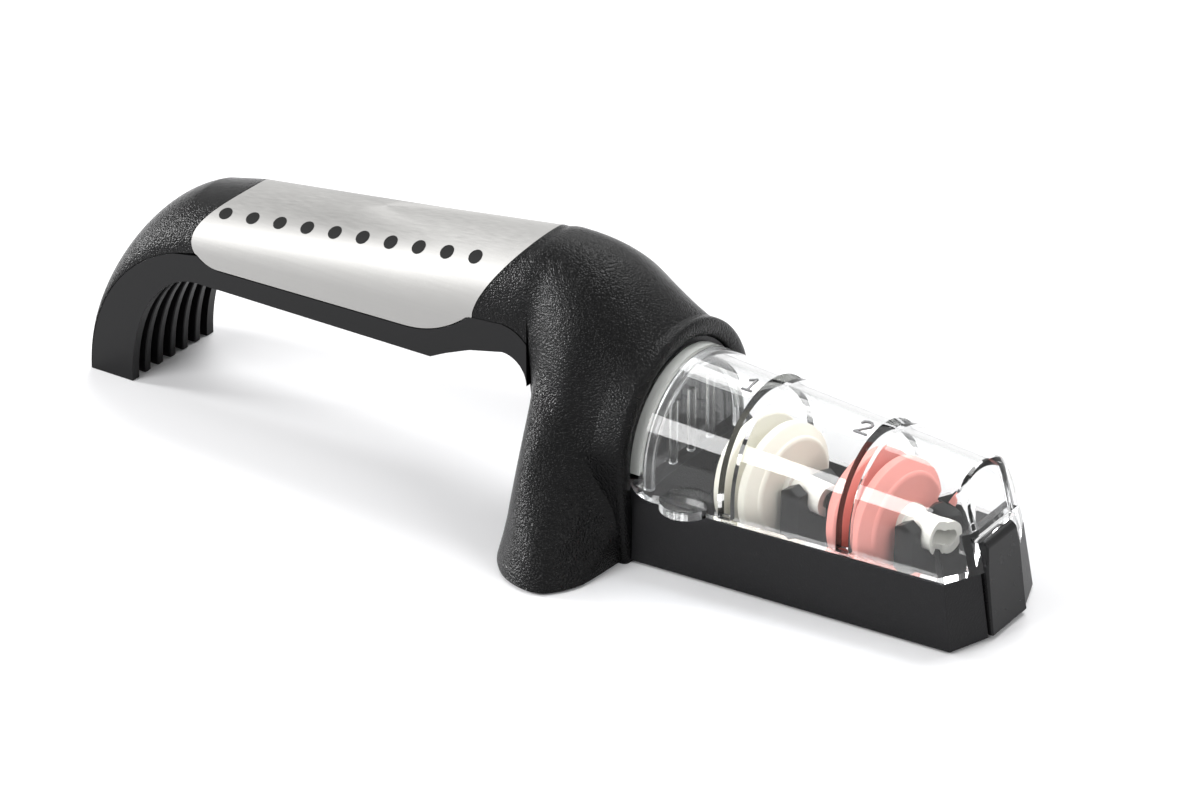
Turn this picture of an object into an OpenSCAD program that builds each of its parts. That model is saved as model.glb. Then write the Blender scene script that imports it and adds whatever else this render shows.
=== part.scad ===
// Pull through knife sharpener with a water trough and two stages of wheels.
// +X runs from the heel to the nose, +Z is up, the origin lies under the middle.

/* [Overall] */
// Length from the heel to the nose latch
total_l = 236; // [226:1:250]
// Width of the handle
handle_w = 30; // [27:1:34]
// Wall of the two handle shells
shell_t = 2.4; // [2:0.1:2.8]
// Height of the hard soles over the surface, where pads stand out
sole_h = 0.5; // [0.3:0.1:1]
// Gap between neighbouring parts that don't touch
gap = 0.3; // [0.2:0.05:0.4]
// Gap between parts that are pushed together
snug = 0.15; // [0.1:0.05:0.2]

/* [Rear foot and handle] */
// Height of the crown where the back of the foot turns into the handle
foot_top_h = 49.9; // [47:0.1:53]
// Reach of the curved back behind that turn
foot_back_l = 38; // [35:1:41]
// How far the back bulges behind the side walls
back_bulge = 1.4; // [1:0.1:2]
// Depth of the lower shell, from the seam down to the handle's underside
lower_d = 7.7; // [6.5:0.1:8.5]
// Length of the foot's sole
foot_sole_l = 12; // [10:0.5:14]
// Reach of the arch in front of the foot
arch_l = 20; // [17:0.5:22]
// Height of the handle's underside
underside_h = 30.3; // [28.5:0.1:31.5]
// Rise of the crown along the handle, per unit of length
crown_rise_share = 0.129; // [0.11:0.001:0.14]
// Rise of the seam along the handle, per unit of length
seam_rise_share = 0.07; // [0.06:0.005:0.08]
// Number of fins inside the rear foot
fin_count = 5; // [3:1:7]
// Thickness of a fin
fin_t = 2; // [1.6:0.1:2.4]

/* [Handle plate] */
// Thickness of the steel plate
plate_t = 0.8; // [0.6:0.1:1]
// Thickness of the bonding film under it
tape_t = 0.2; // [0.1:0.05:0.3]
// Reach of the plate below the seam between the shells
plate_lap = 2.8; // [2:0.1:3.5]
// Corner radius at the plate's rear end
plate_rear_r = 5; // [4:0.5:6]

/* [Guard] */
// Width of the guard on the ground
guard_w = 90; // [80:1:96]
// Length of the guard, from the leg's back to the collar
guard_l = 30; // [28:0.5:34]
// Width of the flat back of the leg
leg_w = 19.6; // [18:0.2:24]
// Distance from the leg's back to the top of the hump
peak_l = 2.5; // [1.5:0.5:4]
// Width of the collar's rim around the cover
collar_t = 3.8; // [3.4:0.1:4.6]
// Rise of the underside from its low point to the leg
leg_arch_h = 6.5; // [5:0.5:7.5]
// Distance from the leg back to the underside's low point
leg_arch_l = 25.7; // [23:0.1:28]

/* [Wheel box] */
// Length of the wheel box, from the collar to the nose
box_l = 82.5; // [82.5:0.5:88]
// Width of the box on the ground at the collar
box_w = 43.4; // [42:0.2:45]
// Width of the box on the ground at the nose corners
box_nose_w = 34.8; // [33:0.2:36.5]
// Height of the rim that the cover sits on
rim_h = 15.2; // [14.5:0.1:16]
// Wall of the box
box_t = 2.2; // [1.8:0.1:2.6]
// Inward lean of the side walls over their height
side_lean = 0.9; // [0.5:0.1:1.2]
// Inward lean of the nose over its height
nose_lean = 2.5; // [1.5:0.1:3]
// Length of the nose's slanted corners
nose_corner_l = 4.5; // [3.5:0.1:5.5]
// Width of the flat middle of the nose
nose_flat_w = 14.4; // [13.5:0.1:16]

/* [Clear cover] */
// Wall of the cover
cover_t = 2.5; // [2:0.1:3]
// Height of the cover's crown at the collar
cover_top_h = 42; // [41:0.1:43]
// Radius of the crown at the collar
cover_r = 21; // [20.6:0.1:21.6]
// Radius of the crown at the nose
cover_nose_r = 16.2; // [15.8:0.1:16.8]
// Height of the crown's centre at the nose
cover_nose_h = 20; // [19.4:0.1:20.6]
// Width of a knife slot
slot_w = 3; // [2.4:0.1:3.6]
// Height of the flange left under each slot
flange_h = 1.2; // [1:0.1:1.8]
// Length of a finger lip
lip_l = 11.5; // [10:0.5:12.5]
// Reach of a finger lip
lip_out = 4.3; // [3:0.1:4.5]
// Thickness of a finger lip
lip_t = 2; // [1.6:0.1:2.4]
// Radius of the cover's lower corner at the collar
cheek_r = 6; // [4:0.5:7]
// How far the cover lifts in its joint
lift_l = 32; // [20:1:40]

/* [Wheels] */
// Distance from the nose to the fine stage's slot
fine_back = 31; // [30:0.5:32]
// Distance between the two stages
stage_l = 28; // [27.5:0.5:30]
// Height of the axles
axle_h = 17.9; // [17.7:0.1:18.2]
// Turn of the axles about the vertical, in degrees
skew_angle = 10; // [8:1:12]
// Radius of a wheel
wheel_r = 13.4; // [12.8:0.1:13.5]
// Length of a pair of discs along the axle
discs_l = 13.6; // [12.6:0.2:14]
// Half angle of the groove between the discs, in degrees
groove_angle = 15; // [12:1:18]
// Radius at which the two discs meet
groove_r = 5; // [4.6:0.1:6]
// Radius of an axle
axle_r = 3.5; // [3:0.1:3.7]
// Radius of the bore through an axle
axle_bore_r = 1.8; // [1.2:0.1:2]
// Length of an axle
axle_l = 27.2; // [26.8:0.1:27.4]
// Radius of the collars beside the discs
stop_r = 4.4; // [4.2:0.1:5.2]
// Radial clearance of an axle in its forks
axle_play = 0.06; // [0.02:0.01:0.1]

/* [Axle rack] */
// Length of a front fork post along the axle
post_l = 5; // [4:0.1:5.2]
// Length of a rear fork post along the axle
post_back_l = 2.4; // [2:0.1:2.6]
// Thickness of a fork post
post_t = 2.8; // [2.2:0.1:3.2]
// Height of the gabled tips of the posts
post_top_h = 21.4; // [20.8:0.1:22]
// Thickness of the rack's floor
rack_t = 1.2; // [1:0.1:1.3]

/* [Nose latch] */
// Height of the latch
latch_h = 21.6; // [21:0.1:22.2]
// Width of the latch at its top
latch_top_w = 11.6; // [11:0.1:12.4]
// Radius of the latch pin
latch_pin_r = 1; // [0.8:0.1:1.1]
// Angle that the latch tips out, in degrees
latch_angle = 7; // [5:1:8]

/* [Screws and pads] */
// Radius of a screw's shank
screw_r = 1.5; // [1.2:0.1:1.6]
// Radius of a screw's head
head_r = 2.8; // [2.4:0.1:3]
// Height of a screw's head
head_h = 1.6; // [1.2:0.1:1.8]
// Radial play of a screw in its hole
thread_play = 0.05; // [0.02:0.01:0.1]
// Wall of a screw boss
boss_t = 1.8; // [1.5:0.1:2]
// Radius of a rubber pad
pad_r = 6; // [5:0.5:7]
// Depth of a pad in its pocket
pad_in = 1; // [0.8:0.1:1.2]

/* [Hidden] */
$fn = 96;

// One overrun serves every cut
over = 1;

// Places along the object
heel_x = -total_l / 2;
nose_x = total_l / 2;
foot_x = heel_x + foot_back_l;
toe_x = heel_x + back_bulge + foot_sole_l;
arch_x = toe_x + arch_l;
guard_x = nose_x - box_l;
leg_x = guard_x - guard_l;
peak_x = leg_x + peak_l;
low_x = leg_x - leg_arch_l;
half_w = handle_w / 2;
leg_half = leg_w / 2;
box_half = box_w / 2;
cover_h = cover_top_h - cover_r;
collar_r = cover_r + collar_t;
seam_h = underside_h + lower_d;
plate_low_h = seam_h - plate_lap;
film_gap = 0.05;
plate_bed = plate_t + tape_t + 2 * film_gap;

// The turn from the foot's curved back into the straight crown
turn_share = crown_rise_share / sqrt(pow(crown_rise_share, 2) + pow(foot_top_h / foot_back_l, 2));
turn_angle = acos(turn_share);
turn_x = foot_x - foot_back_l * turn_share;
turn_z = foot_top_h * sin(turn_angle);
seam_back_l = foot_back_l - back_bulge;
seam_x = foot_x - seam_back_l * turn_share;
seam_z = seam_h * sin(turn_angle);

// The hump: a straight rise, then a parabola that falls to the collar
fall_l = guard_x - peak_x;
peak_over = crown_line(peak_x) - cover_h - collar_r;
hump_drop = (peak_over + sqrt(pow(peak_over, 2) - pow(crown_rise_share * fall_l, 2))) / 2;
hump_x = peak_x - crown_rise_share * pow(fall_l, 2) / (2 * hump_drop);
hump_top = crown_line(hump_x) + pow(crown_rise_share * fall_l, 2) / (4 * hump_drop);

function crown_line(x) = turn_z + crown_rise_share * (x - turn_x);
function top_z(x) =
    x < hump_x ? crown_line(x) : hump_top - hump_drop * pow((x - peak_x) / fall_l, 2);

// The seam follows the handle and bends down behind the leg
bend_x = leg_x - leg_arch_h;
bend_l = 1.54 * leg_arch_h;
bend_h = 2 * leg_arch_h;
function seam_line(x) = seam_z + seam_rise_share * (x - seam_x);
function bend(x) = bend_h * (1 - sqrt(1 - pow((x - bend_x) / bend_l, 2)));
function seam_at(x) = seam_line(min(x, bend_x)) - (x > bend_x ? bend(x) : 0);

// Cross sections are superellipses; the skirts below them reach the ground at the guard
skirt_steps = 6;
arc_steps = 12;
skirt_angle = 16;
path_n = 2 * skirt_steps + arc_steps;
function blend(a, b, t) = a + (b - a) * t;
function sharp(v, p) = sign(v) * pow(abs(v), p);
function path_angle(j) =
    j <= skirt_steps ? skirt_angle * j / skirt_steps :
    j >= path_n - skirt_steps ? 180 - skirt_angle * (path_n - j) / skirt_steps :
    skirt_angle + (180 - 2 * skirt_angle) * (j - skirt_steps) / arc_steps;
function fullness(h, w) = 2 + 2.6 * max(0, h / w / 2 - 0.5);

// A section of the rear foot, fanned about the foot's centre
function foot_point(turn, a, inset) =
    let (s = [foot_x - seam_back_l * cos(turn), seam_h * sin(turn)],
         c = [foot_x - (foot_back_l - inset) * cos(turn), (foot_top_h - inset) * sin(turn)],
         p = s + (c - s) * sin(a))
    [p[0], -(half_w - inset) * cos(a), p[1]];

// A section of the handle
function handle_point(x, a, inset) =
    let (h = top_z(x) - inset - seam_at(x),
         n = fullness(h, half_w))
    [x, -(half_w - inset) * sharp(cos(a), 2 / n), seam_at(x) + h * pow(sin(a), 2 / n)];

// A smooth curve through a list of numbers or rows
function spline(list, u) =
    let (n = len(list), i = min(floor(u), n - 2), f = u - i,
         a = list[max(i - 1, 0)], b = list[i], c = list[i + 1], d = list[min(i + 2, n - 1)])
    b + (c - a) * f / 2 + (2 * a - 5 * b + 4 * c - d) * pow(f, 2) / 2
    + (3 * b - a - 3 * c + d) * pow(f, 3) / 2;

// Stations of the guard: place along it, height where the arch starts, fullness of the arch,
// then its half widths from the ground up to that height
front_t = shell_t + 0.1;
face_share = 1 - front_t / guard_l;
level_shares = [0, 0.15, 0.3, 0.6, 0.85, 1];
leg_shares = [0, 0, 0, 0.2, 0.92, 0.9];
collar_shares = [0.08, 0.35, 0.6, 0.95, 0.95, 0.7];
wing_shares = [
    [0.013, 0.728, 2.45, 0.333, 0.315, 0.298, 0.285, 0.329, 0.327],
    [0.05, 0.713, 2.4, 0.489, 0.44, 0.4, 0.345, 0.347, 0.338],
    [0.117, 0.682, 2.3, 0.656, 0.584, 0.533, 0.44, 0.387, 0.366],
    [0.217, 0.636, 2.15, 0.8, 0.729, 0.684, 0.587, 0.484, 0.418],
    [0.35, 0.587, 2.05, 0.907, 0.844, 0.796, 0.693, 0.551, 0.473],
    [0.483, 0.546, 2, 0.969, 0.92, 0.862, 0.716, 0.573, 0.502],
    [0.65, 0.4975, 2, 1, 0.956, 0.884, 0.693, 0.542, 0.489],
    [0.783, 0.473, 2, 0.987, 0.929, 0.818, 0.6, 0.516, 0.493],
    [0.86, 0.465, 2, 0.936, 0.85, 0.695, 0.553, 0.518, 0.506],
    [face_share, 0.458, 2, 0.88, 0.745, 0.608, 0.544, 0.538, 0.522],
    [0.97, 0.455, 2, 0.775, 0.633, 0.556, 0.547, 0.547, 0.531]];
arch_start = 16;
leg_full = fullness(top_z(leg_x) - seam_at(leg_x), half_w);
leg_row = concat(
    [leg_x, blend(seam_at(leg_x), top_z(leg_x), pow(sin(arch_start), 2 / leg_full)), leg_full],
    [for (share = leg_shares) blend(leg_half, half_w, share)]);
collar_row = concat(
    [guard_x, cover_h + collar_r * sin(arch_start), 2],
    [for (share = collar_shares) blend(box_half, collar_r, share)]);
guard_rows = concat([leg_row],
    [for (r = wing_shares) concat([leg_x + r[0] * guard_l, r[1] * hump_top, r[2]],
                                  [for (k = [3:8]) r[k] * guard_w / 2])],
    [collar_row]);
face_row = len(guard_rows) - 3;

// The row at a place, between the stations
function row_at(x) =
    [for (k = [0:8]) lookup(x, [for (r = guard_rows) [r[0], r[k]]])];

// A section of the guard: a skirt from the ground, then the arch over the top
function skirt_rise(j) = (j <= skirt_steps ? j : path_n - j) / skirt_steps;
function level_half(row, rise) =
    lookup(rise, [for (k = [0:5]) [level_shares[k], row[3 + k]]]);
function arch_point(x, a, y, z, high, n) =
    let (s = pow(sin(arch_start), 2 / n), low = (z - high * s) / (1 - s),
         w = y / pow(cos(arch_start), 2 / n))
    [x, -w * sharp(cos(a), 2 / n), low + (high - low) * pow(sin(a), 2 / n)];
function row_point(x, row, j, thin, drop) =
    j < skirt_steps || j > path_n - skirt_steps
        ? [x, (j <= skirt_steps ? -1 : 1) * (level_half(row, skirt_rise(j)) - thin),
           blend(sole_h, row[1], skirt_rise(j))]
        : arch_point(x, path_angle(j), row[8] - thin, row[1], top_z(row[0]) - drop, row[2]);
function guard_outer(u, j) = let (row = spline(guard_rows, u)) row_point(row[0], row, j, 0, 0);

// The inside of the guard keeps one wall behind the outside, seen along X and across
function inner_x(x) =
    let (turn = (x - blend(leg_x, guard_x, 0.62)) / shell_t / 2)
    max(leg_x, min(guard_x, x + shell_t * max(-1, min(1, turn))));
function guard_inner(u, j) =
    let (x = spline(guard_rows, u)[0])
    row_point(x, row_at(inner_x(x)), j, shell_t, 1.2 * shell_t);

// The collar's opening holds the wheel box's back plate
open_r = cover_r + 1.1;
open_foot = box_half - 1.1 * shell_t;
function open_point(x, j, inset) =
    let (r = open_r - inset, z = cover_h + r * sin(arch_start))
    j < skirt_steps || j > path_n - skirt_steps
        ? [x, (j <= skirt_steps ? -1 : 1) * blend(open_foot - inset, r * cos(arch_start),
                                                  pow(skirt_rise(j), 0.7)),
           blend(sole_h, z, skirt_rise(j))]
        : arch_point(x, path_angle(j), r * cos(arch_start), z, cover_h + r, 2);

// The steel plate's edges seen from the side
plate_rear_x = foot_x + gap;
plate_front_x = leg_x - 3;
plate_top_rear = foot_top_h - gap;
plate_top_front = top_z(plate_front_x);
plate_back_x = plate_rear_x - 0.21 * handle_w;
plate_mid_h = plate_low_h + 1.25 * plate_rear_r;
plate_sweep = 0.38 * handle_w;
plate_corner_l = 0.62 * handle_w;
plate_corner_x = plate_front_x - plate_sweep - plate_corner_l;
plate_low_share = 0.017;
function low_edge(x) =
    plate_low_h + plate_low_share * (x - plate_rear_x)
    + 0.25 * handle_w * pow(max(0, x - plate_corner_x) / plate_corner_l, 2.2);
plate_tip_h = low_edge(plate_front_x - plate_sweep);
function rear_edge(z) =
    let (up = (z - plate_mid_h) / (plate_top_rear - plate_mid_h),
         down = (plate_mid_h - z) / (plate_mid_h - plate_low_h))
    plate_back_x + (z > plate_mid_h ? (plate_rear_x - plate_back_x) * pow(up, 2)
                                    : 1.5 * plate_rear_r * (1 - sqrt(1 - pow(down, 2))));
function front_edge(z) =
    plate_front_x - plate_sweep
    + plate_sweep * pow(max(0, z - plate_tip_h) / (plate_top_front - plate_tip_h), 1.5);

// A point under or on the plate: share 0 lies on the rear edge and 1 on the front edge
function height_at(x, a) = handle_point(x, a, 0)[2];
function plate_x(share, a) =
    blend(rear_edge(height_at(plate_rear_x - gap, a)),
          front_edge(height_at(plate_front_x - plate_sweep / 2, a)), share);
function bed_point(share, a, inset) = handle_point(plate_x(share, a), a, inset);
plate_shares = [0, 0.08, 0.2, 0.35, 0.5, 0.65, 0.78, 0.87, 0.94, 1];
edge_share = snug / (plate_front_x - plate_sweep - plate_back_x);
wall_share = edge_share / 3;

// Stations of the upper shell from the heel to the collar
foot_turns = [for (share = [0, 0.1, 0.21, 0.32, 0.43, 0.54, 0.65, 0.76, 0.87])
              share * turn_angle];
step_l = 0.1;
front_shares = [0.3, 0.55, 0.75, 0.9, 1];
function front_point(share, a, inset) =
    handle_point(blend(plate_x(1 + edge_share + wall_share, a), leg_x - step_l, share), a, inset);
guard_us = concat([for (u = [0:0.5:face_row - 0.5]) u], [face_row - 0.05]);
open_us = [for (u = [face_row:0.5:face_row + 2]) u];

function ring(points_out, points_in) = concat(points_out, points_in);
function bed_ring(share, depth) =
    ring([for (j = [0:path_n]) bed_point(share, path_angle(j), depth)],
         [for (j = [path_n:-1:0]) bed_point(share, path_angle(j), shell_t)]);
foot_rings =
    [for (t = foot_turns)
        ring([for (j = [0:path_n]) foot_point(t, path_angle(j), 0)],
             [for (j = [path_n:-1:0]) foot_point(t, path_angle(j), shell_t)])];
bed_rings = concat(
    [bed_ring(-edge_share - wall_share, 0), bed_ring(-edge_share, plate_bed)],
    [for (share = plate_shares) if (share > 0 && share < 1) bed_ring(share, plate_bed)],
    [bed_ring(1 + edge_share, plate_bed), bed_ring(1 + edge_share + wall_share, 0)]);
handle_rings =
    [for (share = front_shares)
        ring([for (j = [0:path_n]) front_point(share, path_angle(j), 0)],
             [for (j = [path_n:-1:0]) front_point(share, path_angle(j), shell_t)])];
guard_rings = concat(
    [for (u = guard_us)
        ring([for (j = [0:path_n]) guard_outer(u, j)],
             [for (j = [path_n:-1:0]) guard_inner(u, j)])],
    [for (u = open_us)
        ring([for (j = [0:path_n]) guard_outer(u, j)],
             [for (j = [path_n:-1:0]) open_point(spline(guard_rows, u)[0], j, 0)])]);

// A closed skin over rings of equal length, with a strip of quads over each end
module skin(rings) {
    n = len(rings[0]);
    m = len(rings);
    half = n / 2;
    sides = [for (i = [0:m - 2], j = [0:n - 1], side = [0, 1])
        let (a = i * n + j, b = i * n + (j + 1) % n)
        j < half ? (side == 0 ? [a, b, b + n] : [a, b + n, a + n])
                 : (side == 0 ? [a, b, a + n] : [b, b + n, a + n])];
    first = [for (j = [0:half - 2], side = [0, 1])
        side == 0 ? [j + 1, j, n - 1 - j] : [j + 1, n - 1 - j, n - 2 - j]];
    base = (m - 1) * n;
    last = [for (j = [0:half - 2], side = [0, 1])
        side == 0 ? [base + j, base + j + 1, base + n - 1 - j]
                  : [base + j + 1, base + n - 2 - j, base + n - 1 - j]];
    polyhedron([for (r = rings) for (p = r) p], concat(sides, first, last));
}

// A solid between two outlines of equal length at two heights
module frustum(low, high, z0, z1) {
    n = len(low);
    sides = [for (i = [0:n - 1]) [i, i + n, (i + 1) % n + n, (i + 1) % n]];
    polyhedron(concat([for (p = low) [p[0], p[1], z0]], [for (p = high) [p[0], p[1], z1]]),
               concat([[for (i = [0:n - 1]) i]], [[for (i = [n - 1:-1:0]) i + n]], sides));
}

// An outline in the XZ plane made solid across Y
module across(w) {
    translate([0, w / 2, 0])
    rotate([90, 0, 0])
    linear_extrude(w)
    children();
}

// Outlines seen from the side
function oval(cx, cz, rx, rz, a0, a1, steps) =
    [for (i = [0:steps]) let (a = a0 + (a1 - a0) * i / steps) [cx + rx * cos(a), cz + rz * sin(a)]];
outline_steps = 16;
seam_points = concat(
    [for (t = foot_turns) foot_point(t, 0, 0) + snug * [cos(t), 0, -sin(t)]],
    [for (share = [-edge_share - wall_share, 1 + edge_share + wall_share])
        bed_point(share, 0, 0) - [0, 0, snug]],
    [for (share = front_shares) front_point(share, 0, 0) - [0, 0, gap]]);
seam_curve = [for (p = seam_points) [min(p[0], leg_x - snug), p[2]]];
function lifted(list, rise) = [for (p = list) [p[0], p[1] + rise]];
function underside() = concat(
    oval(leg_x - leg_arch_h, underside_h, leg_arch_h - snug, leg_arch_h, 0, 90, 8),
    [[blend(low_x, bend_x, 0.55), underside_h + leg_arch_h * 0.7],
     [blend(low_x, bend_x, 0.22), underside_h + leg_arch_h * 0.31],
     [low_x, underside_h]]);
foot_arch = oval(arch_x, 0, -arch_l, underside_h, 90, 0, outline_steps);

// The plate's outline seen from the side, grown by one clearance and left open above
function plate_outline(grow) =
    let (low = plate_low_h - grow, top = plate_tip_h + 2 * over)
    concat(
        [for (s = [1:-0.125:0]) let (z = blend(plate_low_h, top, s)) [rear_edge(z) - grow, z]],
        [for (s = [0:0.05:1])
            let (x = blend(rear_edge(plate_low_h), plate_front_x - plate_sweep + over, s))
            [x, low_edge(x) - grow]],
        [[plate_front_x - plate_sweep + over, top]]);
// One ring of the plate: flat flanks from its lower edge to the seam, then the crown
flank_steps = 4;
function flank_point(share, k, side, inset) =
    let (rear = rear_edge(blend(plate_low_h, seam_at(plate_back_x), k / flank_steps)),
         x = blend(rear, plate_front_x - plate_sweep - (1 - k / flank_steps) * gap, share))
    [x, side * (half_w - inset), blend(min(low_edge(x), seam_at(x) - gap), seam_at(x),
                                       k / flank_steps)];
function plate_side(share, inset) = concat(
    [for (k = [0:flank_steps - 1]) flank_point(share, k, -1, inset)],
    [for (j = [0:path_n]) bed_point(share, path_angle(j), inset)],
    [for (k = [flank_steps - 1:-1:0]) flank_point(share, k, 1, inset)]);
function backwards(list) = [for (i = [len(list) - 1:-1:0]) list[i]];

// Places of the screws
shell_screw_xs = [blend(foot_x, leg_x, 0.28), blend(foot_x, leg_x, 0.62)];
boss_r = screw_r + boss_t;
thread_r = screw_r + thread_play;
boss_meet_z = underside_h + 9 * screw_r / 1.5;
tongue_z0 = sole_h + shell_t + snug;
tongue_z1 = tongue_z0 + 3.6 * boss_t;
panel_t = 3;
panel_half = leg_half - shell_t - gap;
tongue_half = panel_half;
box_screw_y = (panel_half + gap) / 2;
box_screw_z = (tongue_z0 + tongue_z1) / 2;
sole_screw_xs = [blend(leg_x, guard_x, 0.35), blend(leg_x, guard_x, 0.7)];
guard_pad_y = guard_w / 2 - 2.4 * pad_r;
guard_pad_x = blend(leg_x, guard_x, 0.6);
nose_pad_x = nose_x - 3 * pad_r;

// A screw along +Z with its head at the bottom
module screw(length) {
    cylinder(h = head_h, r = head_r);
    translate([0, 0, head_h])
    cylinder(h = length - head_h, r = screw_r);
}

module upper_shell() {
    color([0.10, 0.10, 0.11])
    difference() {
        union() {
            skin(concat(foot_rings, bed_rings, handle_rings, guard_rings));
            for (x = shell_screw_xs)
                translate([x, 0, boss_meet_z + snug])
                cylinder(h = top_z(x) - plate_bed - shell_t / 4 - boss_meet_z - snug, r = boss_r);
        }
        for (x = shell_screw_xs)
            translate([x, 0, boss_meet_z])
            cylinder(h = top_z(x) - shell_t - plate_bed - boss_meet_z, r = thread_r);
    }
}

module lower_shell() {
    skin_line = concat(underside(), [[arch_x, underside_h]]);
    skin_rise = 1.2;
    fin_back = seam_back_l - shell_t + back_bulge - gap;
    fin_top = seam_h - shell_t;
    color([0.20, 0.20, 0.21])
    difference() {
        union() {
            for (side = [-1, 1])
                translate([0, side * (half_w - shell_t / 2), 0])
                across(shell_t)
                polygon(concat(seam_curve, underside(), foot_arch));
            across(handle_w - shell_t)
            polygon(concat(skin_line, lifted(backwards(skin_line), skin_rise * shell_t)));
            for (i = [1:fin_count])
                translate([0, (i / (fin_count + 1) - 0.5) * (handle_w - shell_t), 0])
                across(fin_t)
                polygon(concat(
                    oval(foot_x, 0, -fin_back, fin_top, 0, turn_angle, outline_steps),
                    [[arch_x + 2 * over, fin_top], [arch_x + 2 * over, underside_h]],
                    foot_arch));
            across(2 * panel_half)
            polygon([[leg_x, sole_h], [leg_x + panel_t, sole_h],
                     [leg_x + panel_t, underside_h + leg_arch_h],
                     [leg_x - over, underside_h + leg_arch_h],
                     [leg_x - over, underside_h + 0.6 * leg_arch_h], [leg_x, underside_h]]);
            for (x = shell_screw_xs)
                translate([x, 0, underside_h])
                cylinder(h = boss_meet_z - underside_h, r = boss_r);
        }
        for (side = [-1, 1])
            translate([0, side * (half_w - plate_bed + over), 0])
            across(2 * over) polygon(plate_outline(gap));
        for (x = shell_screw_xs)
            translate([x, 0, underside_h - over]) {
                cylinder(h = boss_meet_z - underside_h + 2 * over, r = screw_r + snug);
                cylinder(h = head_h + over + snug, r = head_r + snug);
            }
        for (side = [-1, 1])
            translate([leg_x - over, side * box_screw_y, box_screw_z])
            rotate([0, 90, 0]) {
                cylinder(h = panel_t + 2 * over, r = screw_r + snug);
                cylinder(h = head_h + over + snug, r = head_r + snug);
            }
    }
}

module plate_layer(top_in, bottom_in) {
    skin([for (share = plate_shares)
        ring(plate_side(share, top_in), backwards(plate_side(share, bottom_in)))]);
}

module handle_plate() {
    color([0.72, 0.71, 0.70]) {
        plate_layer(0, plate_t);
    }
}

module plate_tape() {
    color([0.85, 0.84, 0.78]) {
        plate_layer(plate_t + film_gap, plate_bed - film_gap);
    }
}

module shell_screws() {
    color([0.6, 0.6, 0.62])
    for (x = shell_screw_xs)
        translate([x, 0, underside_h + snug])
        screw(boss_meet_z - underside_h + 3 * screw_r);
}

// Outlines of the wheel box seen from above, at the ground and at the rim
function box_outline(back, side_in, nose_in, x_in) =
    let (w0 = box_half - side_in, w1 = box_nose_w / 2 - side_in, f = nose_flat_w / 2,
         corner = nose_x - nose_corner_l - nose_in, front = nose_x - nose_in - x_in)
    [[back, -w0], [corner, -w1], [front, -f], [front, f], [corner, w1], [back, w0]];
latch_proud = 0.8;
module box_form(inset, z0, z1, back) {
    low = z0 / rim_h;
    high = z1 / rim_h;
    frustum(box_outline(back, inset + low * side_lean, inset + low * nose_lean, latch_proud),
            box_outline(back, inset + high * side_lean, inset + high * nose_lean, latch_proud),
            z0, z1);
}

latch_back = 5.4;
latch_x = nose_x - latch_back;
channel_half = nose_flat_w / 2 + gap;
trough_floor = sole_h + shell_t;
trough_front_in = latch_back + 2 * gap + box_t - latch_proud;
latch_pin_x = nose_x - 3.6;
latch_pin_z = 3.4;
latch_pin_half = nose_flat_w / 2 + 2.3;

module back_plate_outline(inset) {
    ring_points = [for (j = [0:path_n]) open_point(0, j, inset)];
    polygon([for (p = ring_points) [p[1], p[2]]]);
}

module cheek_outline(grow) {
    difference() {
        square([cheek_r + grow, cheek_r + grow]);
        translate([cheek_r + grow, cheek_r + grow])
        circle(r = cheek_r);
    }
}

module wheel_box() {
    plate_l = front_t - snug;
    color([0.13, 0.13, 0.14])
    difference() {
        union() {
            box_form(0, sole_h, rim_h, guard_x);
            translate([guard_x - plate_l, 0, 0])
            rotate([90, 0, 90])
            linear_extrude(plate_l)
            back_plate_outline(snug);
            translate([leg_x + panel_t + snug, -tongue_half, tongue_z0])
            cube([guard_x - leg_x - panel_t - snug, 2 * tongue_half, tongue_z1 - tongue_z0]);
            for (side = [-1, 1])
                translate([guard_x, side * (box_half - side_lean - box_t / 2), rim_h])
                across(box_t) cheek_outline(0);
        }
        difference() {
            box_form(box_t, trough_floor, rim_h + over, guard_x + box_t);
            translate([nose_x - trough_front_in, -box_w / 2, -over])
            cube([box_l, box_w, rim_h + 3 * over]);
        }
        translate([latch_x - gap, -channel_half, -over])
        cube([box_l, 2 * channel_half, rim_h + 3 * over]);
        translate([latch_pin_x, latch_pin_half, latch_pin_z])
        rotate([90, 0, 0])
        cylinder(h = 2 * latch_pin_half, r = latch_pin_r);
        for (side = [-1, 1])
            translate([leg_x + panel_t, side * box_screw_y, box_screw_z])
            rotate([0, 90, 0])
            cylinder(h = 5 * screw_r + snug, r = thread_r);
        for (x = sole_screw_xs)
            translate([x, 0, tongue_z0 - over])
            cylinder(h = over + 2 * screw_r, r = thread_r);
        for (x = rack_screw_xs)
            translate([x, 0, trough_floor - over])
            cylinder(h = 2 * over, r = thread_r);
        nose_pad_form(snug);
    }
}

module box_screws() {
    color([0.6, 0.6, 0.62])
    for (side = [-1, 1])
        translate([leg_x + snug, side * box_screw_y, box_screw_z])
        rotate([0, 90, 0])
        screw(panel_t + 4 * screw_r);
}

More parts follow.
